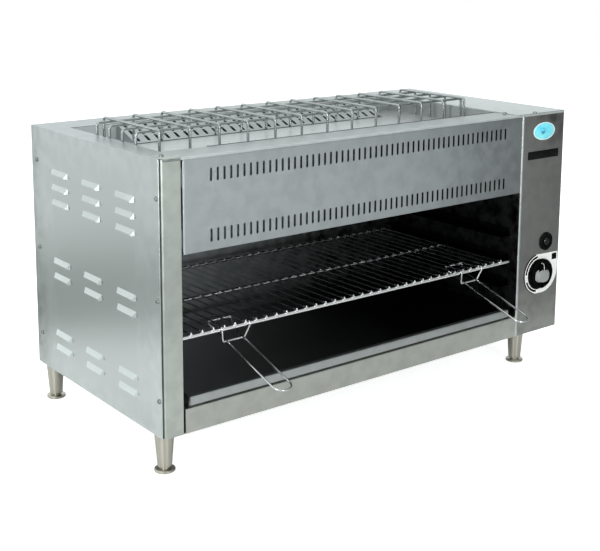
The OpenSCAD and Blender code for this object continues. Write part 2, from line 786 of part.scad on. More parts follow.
module wiring_harness() {
    x_out = gland_x - 14;
    reg_back = sheet + regulator_d + 8;
    pin_x = element_end + 10;
    feed_y = hairpin_first;
    module run(p) { wire(rounded(p, [for (k = [1:len(p) - 2]) 7], 3), 1.6, [1, 0.3, 0.2]); }
    body_frame() color("#8c8f94") {
        run([[x_out, block_y, sheet + 12.5], [x_out, block_y, 70], [x_out, 120, 70],
             [knob_x - 12, 80, knob_z], [knob_x - 12, reg_back, knob_z]]);
        run([[x_out + 28, block_y, sheet + 12.5], [x_out + 28, block_y, 90], [body_w - 20, 260, 150],
             [body_w - 20, feed_y + hairpin_w, element_z], [pin_x, feed_y + hairpin_w, element_z]]);
        run([[knob_x + 12, reg_back, knob_z + 12], [knob_x + 12, 80, knob_z + 12],
             [knob_x + 12, feed_y, element_z], [pin_x, feed_y, element_z]]);
        for (k = [0:hairpins - 2]) {
            y = hairpin_first + k * hairpin_pitch + hairpin_w;
            gap = hairpin_pitch - hairpin_w;
            run([[pin_x - 3, y, element_z + 1.5], [pin_x - 3, y, element_z + 20],
                 [pin_x - 3, y + gap, element_z + 20], [pin_x - 3, y + gap, element_z + 1.5]]);
        }
    }
}

module cable_gland() {
    body_frame() translate([gland_x, body_d, gland_z]) color("#1f2022") difference() {
        union() {
            along_y([0, -12, 0], 8, 13);
            rotate([-90, 0, 0]) rotate_extrude() polygon([
                [0, 0], [13, 0], [13, 5], [11, 6], [11, gland_out - 5], [8.5, gland_out], [0, gland_out]]);
            along_y([0, -sheet - 5, 0], 12, 5);
        }
        along_y([0, -14, 0], 5, gland_out + 20);
    }
}

// ---- Legs ----

leg_right_x = open_x1 + 31;
leg_x = [leg_inset_x, leg_right_x];
leg_y = [leg_inset_y, body_d - leg_inset_y];
stem_r = 7.9;
foot_t = 4.6;

module leg_places() { for (x = leg_x, y = leg_y) translate([x, y, 0]) children(); }

module leg(right, rear) {
    neck = leg_h - foot_t - 3;
    body_frame() translate([leg_x[right], leg_y[rear], 0]) color("#9a958b") rotate([180, 0, 0])
        rotate_extrude() polygon([
            [4.05, 0], [leg_top_d / 2, 0], [leg_top_d / 2, 2], [leg_end_d / 2, neck - 1.5],
            [leg_end_d / 2 - 0.7, neck], [stem_r + running, neck], [stem_r + running, 22],
            [4.05, 22]]);
}

module foot(right, rear) {
    body_frame() translate([leg_x[right], leg_y[rear], -leg_h]) color("#8d887f") rotate_extrude() polygon([
        [0, 0], [foot_d / 2 - 1, 0], [foot_d / 2, 1], [foot_d / 2, foot_t - 1], [foot_d / 2 - 1.5, foot_t],
        [stem_r, foot_t], [stem_r, leg_h - 24], [0, leg_h - 24]]);
}

module leg_bolts() {
    body_frame() color("#b8babb") leg_places() {
        translate([0, 0, sheet]) cylinder(r = 7.5, h = 5, $fn = 6);
        translate([0, 0, -16]) cylinder(r = 4, h = 16 + sheet + 1);
    }
}

// ---- Drip tray ----

module drip_tray() {
    top_z = lip_z + lip_h;
    body_frame() color("#9fa5a6") {
        difference() {
            union() {
                block([tray_x0, tray_front, tray_z], [tray_x1, tray_back, top_z]);
                translate([tray_lip_x0, 0, 0]) rotate([90, 0, 90]) linear_extrude(tray_lip_x1 - tray_lip_x0)
                    polygon(concat([[0, lip_z]], arc([2, top_z - 2], 2, 180, 90, 4),
                        [[tray_front + sheet, top_z], [tray_front + sheet, top_z - sheet],
                         [sheet, top_z - sheet], [sheet, lip_z]]));
            }
            block([tray_x0 + sheet, tray_front + sheet, tray_z + sheet],
                  [tray_x1 - sheet, tray_back - sheet, top_z + 1]);
        }
    }
}

// ---- Shelf ----

module shelf_rods() {
    body_frame() color("#d4d7d8") for (y = [rod_front_y, (rod_front_y + rod_back_y) / 2 - 3, rod_back_y])
        along_x([shelf_x0, y, shelf_z], rod_r, shelf_x1 - shelf_x0);
}

function wire_x(i) = shelf_x0 + wire_inset + i * wire_pitch;

module shelf_wires() {
    body_frame() color("#d4d7d8") for (i = [0:wire_count - 1])
        along_y([wire_x(i), rod_front_y - rod_r - 1, wires_z], wire_d / 2,
                rod_back_y - rod_front_y + 2 * rod_r + 2);
}

function grip_z(y) = shelf_z - grip_drop + grip_slope * (y - 4);

module handle_grip(i) {
    x = wire_x(i);
    tip_z = grip_z(grip_tip_y);
    body_frame() color("#d9dbdb") wire(rounded_loop([
        [x - grip_half, grip_tip_y, tip_z], [x + grip_half, grip_tip_y, tip_z],
        [x + grip_half, knee_y, grip_z(knee_y)], [x + flare_half, press_y, press_z],
        [x - flare_half, press_y, press_z], [x - grip_half, knee_y, grip_z(knee_y)]],
        [15, 15, 8, 4, 4, 8], 4), handle_r, [0, -grip_slope, 1], true);
}

module handle_hook(i) {
    x = wire_x(i);
    bar_z = grip_z(bar_y) - handle_wire + weld;
    over = [for (a = [-20:20:160]) [0, rod_front_y + hook_r * cos(a), shelf_z + hook_r * sin(a)]];
    left = [for (p = over) [x - hook_half, p.y, p.z]];
    right = [for (k = [len(over) - 1:-1:0]) [x + hook_half, over[k].y, over[k].z]];
    front_y0 = rod_front_y - hook_r;
    bar = rounded([[x - hook_half, front_y0, shelf_z], [x - bar_half, bar_y, bar_z],
        [x + bar_half, bar_y, bar_z], [x + hook_half, front_y0, shelf_z]], [4, 4], 4);
    body_frame() color("#d9dbdb") wire(concat(left, bar, right), handle_r, [1, 0, 0]);
}

// ---- Guard ----

module guard_cross_wires() {
    step = (guard_x1 - guard_x0 - guard_inset_left - guard_inset_right) / (guard_count - 1);
    body_frame() color("#b9bcbc") for (i = [0:guard_count - 1]) {
        x = guard_x0 + guard_inset_left + i * step;
        on_cover = x > cover_x0 - guard_wire && x < cover_x0 + cover_l + guard_wire;
        rear_foot = on_cover ? guard_cover_foot : guard_foot;
        translate([x, guard_y0, guard_z]) rotate([0, 0, 90])
            staple(guard_y1 - guard_y0, [guard_z - guard_foot, guard_z - rear_foot], guard_r, guard_bend);
    }
}

module guard_long_wires() {
    step = (guard_y1 - guard_y0 - 52) / (guard_long_rows - 1);
    drop = guard_long_z - guard_foot;
    body_frame() color("#b9bcbc") for (i = [0:guard_long_rows - 1])
        translate([guard_x0, guard_y0 + 26 + i * step, guard_long_z])
            staple(guard_x1 - guard_x0, [drop, drop], guard_r, guard_bend);
}

left_side_panel();
right_side_panel();
back_panel();
base_pan();
left_front_post();
bottom_front_rail();
top_hood();
vent_well();
vent_cover();
control_panel();
control_top();
partition();
cavity_left_wall();
cavity_back_wall();
cavity_floor();
reflector();
insulation_blanket();
left_runners();
right_runners();
tray_guides();
heating_elements();
element_supports();
element_bushings();
energy_regulator();
regulator_shaft();
control_knob();
knob_bezel();
pilot_bezel();
pilot_lens();
terminal_block();
wiring_harness();
cable_gland();
leg(0, 0);  // leg_front_left
leg(1, 0);  // leg_front_right
leg(0, 1);  // leg_rear_left
leg(1, 1);  // leg_rear_right
leg_bolts();
foot(0, 0);  // foot_front_left
foot(1, 0);  // foot_front_right
foot(0, 1);  // foot_rear_left
foot(1, 1);  // foot_rear_right
panel_screws();
drip_tray();
shelf_rods();
shelf_wires();
handle_grip(handle_wires_in);  // handle_grip_left
handle_hook(handle_wires_in);  // handle_hook_left
handle_grip(wire_count - 1 - handle_wires_in);  // handle_grip_right
handle_hook(wire_count - 1 - handle_wires_in);  // handle_hook_right
guard_cross_wires();
guard_long_wires();
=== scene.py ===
"""Visual model of a countertop cheese melter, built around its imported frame.

Each sub-assembly is a class that builds its meshes and dresses them, each finish is a
frozen dataclass that builds one material, and lengths are in millimetres in the
cabinet's own coordinates until ``Cabinet.at`` turns them into the frame's metres.
"""
import json
import logging
import math
from dataclasses import dataclass
from enum import Enum
from functools import cache
from typing import Callable, Sequence

import bmesh
import bpy
from mathutils import Matrix, Vector


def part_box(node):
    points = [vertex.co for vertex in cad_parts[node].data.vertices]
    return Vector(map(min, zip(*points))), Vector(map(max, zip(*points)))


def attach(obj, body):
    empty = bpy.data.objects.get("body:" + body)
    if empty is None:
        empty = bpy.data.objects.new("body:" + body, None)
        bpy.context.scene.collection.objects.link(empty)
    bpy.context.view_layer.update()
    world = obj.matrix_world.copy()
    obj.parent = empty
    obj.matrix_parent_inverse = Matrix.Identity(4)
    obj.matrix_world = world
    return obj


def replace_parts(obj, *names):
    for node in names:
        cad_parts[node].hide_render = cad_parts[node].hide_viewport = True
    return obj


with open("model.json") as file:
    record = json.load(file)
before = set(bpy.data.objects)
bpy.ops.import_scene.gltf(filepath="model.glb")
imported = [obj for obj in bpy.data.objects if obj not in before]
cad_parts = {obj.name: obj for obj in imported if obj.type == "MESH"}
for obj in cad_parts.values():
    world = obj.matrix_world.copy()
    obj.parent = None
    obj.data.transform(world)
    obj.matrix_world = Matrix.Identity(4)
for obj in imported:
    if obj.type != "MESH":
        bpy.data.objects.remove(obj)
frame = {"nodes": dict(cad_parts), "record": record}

LOG = logging.getLogger("cheese_melter")
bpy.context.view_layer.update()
MM = 0.001
IMAGE_W = 600
IMAGE_H = 551
NODE_SHARP = 28.0

Colour = tuple[float, float, float]
Rgba = tuple[float, float, float, float]
Point = tuple[float, float, float]
Flat = tuple[float, float]
Ring = list[bmesh.types.BMVert]
Socket = bpy.types.NodeSocket
Placer = Callable[[float, float, float], Vector]


# ---------------------------------------------------------------- placing


@dataclass(frozen=True)
class Cabinet:
    """Places the cabinet's own millimetres in the frame: x from the left side, y back
    from the front face, z up from the underside of the body."""

    left: float
    front: float
    base: float
    width: float
    depth: float
    height: float

    @classmethod
    def from_frame(cls) -> "Cabinet":
        """Reads the cabinet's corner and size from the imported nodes.

        Returns:
            The cabinet's placing.
        """
        low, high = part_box("control_top")
        middle = (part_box("back_panel")[0].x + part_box("back_panel")[1].x) / 2
        half = high.x - middle
        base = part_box("bottom_front_rail")[0].z
        return cls(middle - half, low.y, base, 2 * half / MM, (high.y - low.y) / MM,
                   (low.z - base) / MM)

    def at(self, x: float, y: float, z: float) -> Vector:
        """Turns cabinet millimetres into frame metres.

        Args:
            x: Distance from the left side.
            y: Distance back from the front face.
            z: Height above the underside.

        Returns:
            The point in the frame.
        """
        return Vector((self.left + x * MM, self.front + y * MM, self.base + z * MM))

    def mm(self, p: Vector) -> Vector:
        """Turns a frame point into cabinet millimetres."""
        return Vector((p.x - self.left, p.y - self.front, p.z - self.base)) / MM

    def box(self, node: str) -> tuple[Vector, Vector]:
        """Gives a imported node's low and high corner in cabinet millimetres."""
        low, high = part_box(node)
        return self.mm(low), self.mm(high)

    def middle(self, node: str) -> Flat:
        """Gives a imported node's middle, across and up, in cabinet millimetres."""
        low, high = self.box(node)
        return (low.x + high.x) / 2, (low.z + high.z) / 2


CABINET = Cabinet.from_frame()


# ---------------------------------------------------------------- shader kit


class NodeKit:
    """Short names for building a node tree."""

    def __init__(self, tree: bpy.types.NodeTree) -> None:
        """Keeps the tree to build in."""
        self.tree = tree

    def feed(self, node: bpy.types.Node, inputs: dict) -> None:
        """Sets or links inputs of a node.

        Args:
            node: The node to feed.
            inputs: Plain values, or sockets to link from, by input name or number.
        """
        for name, value in inputs.items():
            if isinstance(value, Socket):
                self.tree.links.new(value, node.inputs[name])
            else:
                node.inputs[name].default_value = value

    def add(self, kind: str, inputs: dict | None = None, **settings: object) -> bpy.types.Node:
        """Adds a node.

        Args:
            kind: The node's type without its ShaderNode prefix.
            inputs: Values or sockets for its inputs.
            settings: Attributes of the node, set first.

        Returns:
            The new node.
        """
        prefix = "" if kind.startswith("NodeGroup") else "ShaderNode"
        node = self.tree.nodes.new(prefix + kind)
        for name, value in settings.items():
            setattr(node, name, value)
        self.feed(node, inputs or {})
        return node

    def group(self, tree: bpy.types.NodeTree, inputs: dict) -> bpy.types.Node:
        """Places a node group with its inputs fed."""
        return self.add("Group", inputs, node_tree=tree)

    def math(self, operation: str, a: object, b: object = 0.0, clamp: bool = False) -> Socket:
        """Adds a math node.

        Args:
            operation: Blender's name of the operation.
            a: First operand, a value or a socket.
            b: Second operand.
            clamp: Whether the result is held between 0 and 1.

        Returns:
            The result's socket.
        """
        return self.add("Math", {0: a, 1: b}, operation=operation, use_clamp=clamp).outputs[0]

    def times(self, a: object, b: object) -> Socket:
        """Multiplies two values."""
        return self.math("MULTIPLY", a, b)

    def plus(self, a: object, b: object) -> Socket:
        """Adds two values."""
        return self.math("ADD", a, b)

    def minus(self, a: object, b: object) -> Socket:
        """Takes the second value from the first."""
        return self.math("SUBTRACT", a, b)

    def mix(self, factor: object, a: object, b: object) -> Socket:
        """Mixes two colours.

        Args:
            factor: Share of the second colour.
            a: First colour.
            b: Second colour.

        Returns:
            The mixed colour's socket.
        """
        return self.add("Mix", {0: factor, 6: a, 7: b}, data_type="RGBA").outputs[2]

    def ramp(self, value: object, low: object, high: object) -> Socket:
        """Maps a value from a range to 0 to 1.

        Args:
            value: The value's socket.
            low: Where the result is 0.
            high: Where the result is 1.

        Returns:
            The mapped value's socket.
        """
        return self.add("MapRange", {0: value, 1: low, 2: high}, clamp=True).outputs[0]

    def place(self) -> Socket:
        """Gives the object's own coordinates."""
        return self.add("TexCoord").outputs["Object"]

    def vector(self, operation: str, a: object, b: object = (0.0, 0.0, 0.0)) -> bpy.types.Node:
        """Adds a vector math node."""
        return self.add("VectorMath", {0: a, 1: b}, operation=operation)

    def noise(self, place: Socket, scale: object, **more: float) -> Socket:
        """Adds noise.

        Args:
            place: Where it is sampled.
            scale: Its scale.
            more: Its Detail, Roughness or Distortion.

        Returns:
            The noise value's socket.
        """
        return self.add("TexNoise", {"Vector": place, "Scale": scale} | more).outputs[0]

    def bump(self, height: Socket, strength: float, distance: float) -> Socket:
        """Turns a height into a normal.

        Args:
            height: The height's socket.
            strength: Share of the effect.
            distance: Depth of the relief in metres.

        Returns:
            The normal's socket.
        """
        return self.add("Bump", {"Height": height, "Strength": strength, "Distance": distance}).outputs[0]


def start_group(name: str, inputs: dict[str, tuple[str, object]],
                outputs: tuple[str, ...]) -> tuple[NodeKit, dict[str, Socket], bpy.types.Node]:
    """Starts a shader group with its sockets.

    Args:
        name: The group's name.
        inputs: Socket types and defaults by input name.
        outputs: Names of its output values.
    """
    tree = bpy.data.node_groups.new(name, "ShaderNodeTree")
    for label, (kind, default) in inputs.items():
        socket = tree.interface.new_socket(name=label, in_out="INPUT", socket_type="NodeSocket" + kind)
        socket.default_value = default
    for label in outputs:
        tree.interface.new_socket(name=label, in_out="OUTPUT", socket_type="NodeSocketFloat")
    kit = NodeKit(tree)
    given = kit.add("NodeGroupInput").outputs
    return kit, {label: given[label] for label in inputs}, kit.add("NodeGroupOutput")


@cache
def grain_group() -> bpy.types.NodeTree:
    """Brushed grain: fine streaks that follow one direction.

    Returns:
        A group with a Streak value and a Height, built once.
    """
    inputs = {"Stretch": ("Vector", (1.0, 1.0, 1.0)), "Amount": ("Float", 0.5)}
    kit, given, out = start_group("brushed_grain", inputs, ("Streak", "Height"))
    scaled = kit.vector("MULTIPLY", kit.place(), given["Stretch"]).outputs[0]
    fine = kit.noise(scaled, 1.0, Detail=3.0, Roughness=0.6)
    broad = kit.noise(scaled, 0.21, Detail=2.0)
    both = kit.plus(kit.times(fine, 0.65), kit.times(broad, 0.35))
    kit.feed(out, {"Streak": kit.times(kit.minus(both, 0.5), given["Amount"]),
                   "Height": kit.times(both, given["Amount"])})
    return kit.tree


@cache
def marks_group() -> bpy.types.NodeTree:
    """Wipe marks and finger smudges: broad soft patches.

    Returns:
        A group with a Mask, built once.
    """
    inputs = {"Scale": ("Float", 9.0), "Amount": ("Float", 0.5)}
    kit, given, out = start_group("handling_marks", inputs, ("Mask",))
    patches = kit.noise(kit.place(), given["Scale"], Detail=4.0, Roughness=0.55, Distortion=0.6)
    kit.feed(out, {"Mask": kit.times(kit.ramp(patches, 0.42, 0.68), given["Amount"])})
    return kit.tree


@cache
def wear_group() -> bpy.types.NodeTree:
    """Edge wear: bare, brighter metal or plastic on outer edges, broken up by noise.

    Returns:
        A group with a Mask, built once.
    """
    inputs = {"Amount": ("Float", 0.5), "Break": ("Float", 60.0)}
    kit, given, out = start_group("edge_wear", inputs, ("Mask",))
    edge = kit.ramp(kit.add("NewGeometry").outputs["Pointiness"], 0.52, 0.62)
    chips = kit.noise(kit.place(), given["Break"], Detail=3.0)
    mask = kit.times(edge, kit.ramp(chips, 0.35, 0.6))
    kit.feed(out, {"Mask": kit.math("MULTIPLY", mask, given["Amount"], clamp=True)})
    return kit.tree


@cache
def painted_tone_group() -> bpy.types.NodeTree:
    """Painted light and shade: a colour mask that rises across a plane, broken up by patches.

    Returns:
        A group with a Mask, built once.
    """
    inputs = {"Along": ("Vector", (0.0, 0.0, 1.0)), "Start": ("Float", 0.0), "End": ("Float", 1.0),
              "Patch": ("Float", 20.0)}
    kit, given, out = start_group("painted_light_and_shade", inputs, ("Mask",))
    place = kit.place()
    reach = kit.vector("DOT_PRODUCT", place, given["Along"]).outputs["Value"]
    patches = kit.noise(place, given["Patch"], Detail=5.0)
    moved = kit.plus(reach, kit.times(kit.minus(patches, 0.5), 0.06))
    kit.feed(out, {"Mask": kit.ramp(moved, given["Start"], given["End"])})
    return kit.tree


# ---------------------------------------------------------------- finishes


class Facing(Enum):
    """A direction, as its vector in the frame."""

    LEFT = (-1.0, 0.0, 0.0)
    RIGHT = (1.0, 0.0, 0.0)
    SLANTED = (1.0, 0.3, 0.0)
    FRONT = (0.0, -1.0, 0.0)
    BACK = (0.0, 1.0, 0.0)
    TOP = (0.0, 0.0, 1.0)
    BOTTOM = (0.0, 0.0, -1.0)


class Brush(Enum):
    """Direction in which a sheet was brushed, as noise stretch for x, y and z."""

    UPRIGHT = (1500.0, 1500.0, 14.0)
    ACROSS = (14.0, 1500.0, 1500.0)
    INWARD = (1500.0, 14.0, 1500.0)
    NONE = (260.0, 260.0, 260.0)


def start_material(name: str) -> tuple[bpy.types.Material, NodeKit, bpy.types.Node]:
    """Makes a material with one Principled shader.

    Args:
        name: The material's name.

    Returns:
        The material, a kit for its tree and the shader.
    """
    material = bpy.data.materials.new(name)
    material.use_nodes = True
    material.node_tree.nodes.clear()
    kit = NodeKit(material.node_tree)
    shader = kit.add("BsdfPrincipled")
    kit.add("OutputMaterial", {"Surface": shader.outputs[0]})
    return material, kit, shader


def tint(colour: Colour, factor: float = 1.0) -> Rgba:
    """Gives a colour, darker or lighter by a factor, with full alpha."""
    return (*(min(1.0, part * factor) for part in colour), 1.0)


@dataclass(frozen=True)
class PaintedTone:
    """One layer of painted light or shade: a colour that rises along a direction, broken up by patches."""

    colour: Colour
    along: Facing
    start: float
    end: float
    patch: float = 18.0

    def inputs(self) -> dict[str, object]:
        """Gives the inputs of the layer's group."""
        return {"Along": self.along.value, "Start": self.start, "End": self.end, "Patch": self.patch}


@dataclass(frozen=True)
class Finish:
    """A finish with a name and a main colour, which builds one material."""

    name: str
    colour: Colour

    def material(self) -> bpy.types.Material:
        """Builds the material.

        Returns:
            The finished material.
        """
        material, kit, shader = start_material(self.name)
        kit.feed(shader, self.inputs(kit))
        return material

    def inputs(self, kit: NodeKit) -> dict[str, object]:
        """Gives the shader's inputs, built with the material's kit."""
        raise NotImplementedError


@dataclass(frozen=True)
class SheetSteel(Finish):
    """Stainless sheet: brushed grain, wipe marks, brighter worn edges and, where it
    is given, layers of painted light and shade."""

    roughness: float = 0.34
    metallic: float = 1.0
    brush: Brush = Brush.UPRIGHT
    grain: float = 0.35
    marks: float = 0.25
    wear: float = 0.4
    painted_tones: tuple[PaintedTone, ...] = ()
    spun: float = 0.0

    def inputs(self, kit: NodeKit) -> dict[str, object]:
        """Lays grain, marks, painted light and shade, and worn edges over each other.

        Args:
            kit: The material's node kit.

        Returns:
            The shader's inputs.
        """
        grain = kit.group(grain_group(), {"Stretch": self.brush.value, "Amount": self.grain}).outputs
        marks = kit.group(marks_group(), {"Scale": 7.0, "Amount": self.marks}).outputs["Mask"]
        wear = kit.group(wear_group(), {"Amount": self.wear, "Break": 45.0}).outputs["Mask"]
        base = kit.mix(kit.plus(grain["Streak"], 0.5), tint(self.colour, 0.9), tint(self.colour, 1.1))
        base = kit.mix(marks, base, tint(self.colour, 0.93))
        # Layers of painted light and shade, each a colour that rises along a direction.
        for layer in self.painted_tones:
            mask = kit.group(painted_tone_group(), layer.inputs()).outputs["Mask"]
            base = kit.mix(mask, base, tint(layer.colour))
        base = kit.mix(wear, base, tint(self.colour, 1.3))
        rough = kit.plus(kit.times(grain["Streak"], 0.35), self.roughness)
        rough = kit.math("ADD", rough, kit.times(marks, 0.12), clamp=True)
        turned = {}
        if self.spun:
            around = kit.add("Tangent", direction_type="RADIAL", axis="Z").outputs[0]
            turned = {"Tangent": around, "Anisotropic": self.spun, "Anisotropic Rotation": 0.25}
        return {"Base Color": base, "Metallic": self.metallic, "Roughness": rough,
                "Normal": kit.bump(grain["Height"], 0.08, 0.0002)} | turned


@dataclass(frozen=True)
class BrightWire(Finish):
    """Plated or polished wire: nearly mirror-like, dulled in patches."""

    roughness: float = 0.14
    dull: Colour = (0.45, 0.45, 0.44)
    dulling: float = 0.35

    def inputs(self, kit: NodeKit) -> dict[str, object]:
        """Dulls the bright wire in patches.

        Args:
            kit: The material's node kit.

        Returns:
            The shader's inputs.
        """
        marks = kit.group(marks_group(), {"Scale": 30.0, "Amount": self.dulling}).outputs["Mask"]
        grain = kit.group(grain_group(), {"Stretch": Brush.NONE.value, "Amount": 0.5}).outputs
        wear = kit.group(wear_group(), {"Amount": 0.3, "Break": 90.0}).outputs["Mask"]
        base = kit.mix(wear, kit.mix(marks, tint(self.colour), tint(self.dull)), tint(self.colour, 1.1))
        return {"Base Color": base, "Metallic": 1.0,
                "Roughness": kit.plus(kit.times(marks, 0.3), self.roughness),
                "Normal": kit.bump(grain["Height"], 0.1, 0.0001)}


@dataclass(frozen=True)
class Moulded(Finish):
    """Moulded plastic or glazed ceramic: fine texture, smudges and rubbed edges."""

    roughness: float = 0.4
    texture: float = 0.4
    rub: float = 0.4
    specular: float = 0.5

    def inputs(self, kit: NodeKit) -> dict[str, object]:
        """Lays smudges and rubbed edges over the plain colour.

        Args:
            kit: The material's node kit.

        Returns:
            The shader's inputs.
        """
        fine = (1400.0, 1400.0, 1400.0)
        grain = kit.group(grain_group(), {"Stretch": fine, "Amount": self.texture}).outputs
        marks = kit.group(marks_group(), {"Scale": 40.0, "Amount": 0.5}).outputs["Mask"]
        wear = kit.group(wear_group(), {"Amount": self.rub, "Break": 120.0}).outputs["Mask"]
        grey = 0.35
        lifted = tuple(part + (grey - part) * 0.05 if part < grey else part for part in self.colour)
        base = kit.mix(kit.times(marks, 0.3), tint(self.colour), tint(lifted))
        return {"Base Color": kit.mix(wear, base, tint(lifted, 1.3)),
                "Roughness": kit.plus(kit.times(marks, 0.15), self.roughness),
                "Specular IOR Level": self.specular, "Normal": kit.bump(grain["Height"], 0.15, 0.0002)}


@dataclass(frozen=True)
class TintedLens(Finish):
    """Tinted lamp lens with a cut pattern inside."""

    def inputs(self, kit: NodeKit) -> dict[str, object]:
        """Makes the pattern of cut cells.

        Args:
            kit: The material's node kit.

        Returns:
            The shader's inputs.
        """
        cells = kit.add("TexVoronoi", {"Vector": kit.place(), "Scale": 420.0}).outputs["Distance"]
        base = kit.mix(kit.ramp(cells, 0.1, 0.6), tint(self.colour, 1.6), tint(self.colour, 0.6))
        return {"Base Color": base, "Roughness": 0.12, "Coat Weight": 0.15,
                "Normal": kit.bump(cells, 0.3, 0.0004)}


@dataclass(frozen=True)
class FibreBlanket(Finish):
    """Mineral fibre: matted threads, greyed on the outside."""

    def inputs(self, kit: NodeKit) -> dict[str, object]:
        """Makes the matted threads and the greyed patches.

        Args:
            kit: The material's node kit.

        Returns:
            The shader's inputs.
        """
        threads = kit.noise(kit.place(), 320.0, Detail=8.0, Distortion=3.0)
        marks = kit.group(marks_group(), {"Scale": 14.0, "Amount": 0.8}).outputs["Mask"]
        base = kit.mix(kit.ramp(threads, 0.35, 0.7), tint(self.colour, 0.6), tint(self.colour))
        return {"Base Color": kit.mix(marks, base, tint(self.colour, 0.45)), "Roughness": 0.95,
                "Normal": kit.bump(threads, 0.6, 0.002)}


@dataclass(frozen=True)
class PrintedOval(Finish):
    """Sticker print: a pale blue field with a soft dark motif, in a white rim."""

    centre: Vector
    half_w: float
    half_h: float
    light_sky: Colour = (0.32, 0.95, 1.0)
    motif: Colour = (0.01, 0.22, 0.45)
    rim: Colour = (0.8, 0.97, 1.0)

    def inputs(self, kit: NodeKit) -> dict[str, object]:
        """Prints the field, the motif and the rim round the centre.

        Args:
            kit: The material's node kit.

        Returns:
            The shader's inputs.
        """
        local = kit.vector("SUBTRACT", kit.place(), self.centre).outputs[0]
        parts = kit.add("SeparateXYZ", {0: local}).outputs
        u = kit.math("DIVIDE", parts[0], self.half_w * MM)
        v = kit.math("DIVIDE", parts[2], self.half_h * MM)
        radius = kit.math("SQRT", kit.plus(kit.times(u, u), kit.times(v, v)))
        clouds = kit.noise(local, 60.0, Detail=2.0)
        sky = kit.mix(kit.ramp(clouds, 0.35, 0.65), tint(self.colour), tint(self.light_sky))
        bands = kit.noise(local, 150.0, Detail=1.0)
        aside = kit.plus(u, 0.12)
        spread = kit.math("SQRT", kit.plus(kit.times(aside, aside), kit.times(kit.times(v, v), 0.5)))
        middle = kit.minus(1.0, kit.ramp(spread, 0.12, 0.34))
        field = kit.mix(kit.times(kit.ramp(bands, 0.42, 0.54), middle), sky, tint(self.motif))
        grain = kit.group(grain_group(), {"Stretch": (900.0, 900.0, 900.0), "Amount": 0.3}).outputs
        return {"Base Color": kit.mix(kit.ramp(radius, 0.88, 0.92), field, tint(self.rim)),
                "Roughness": kit.plus(grain["Streak"], 0.3), "Coat Weight": 0.4}
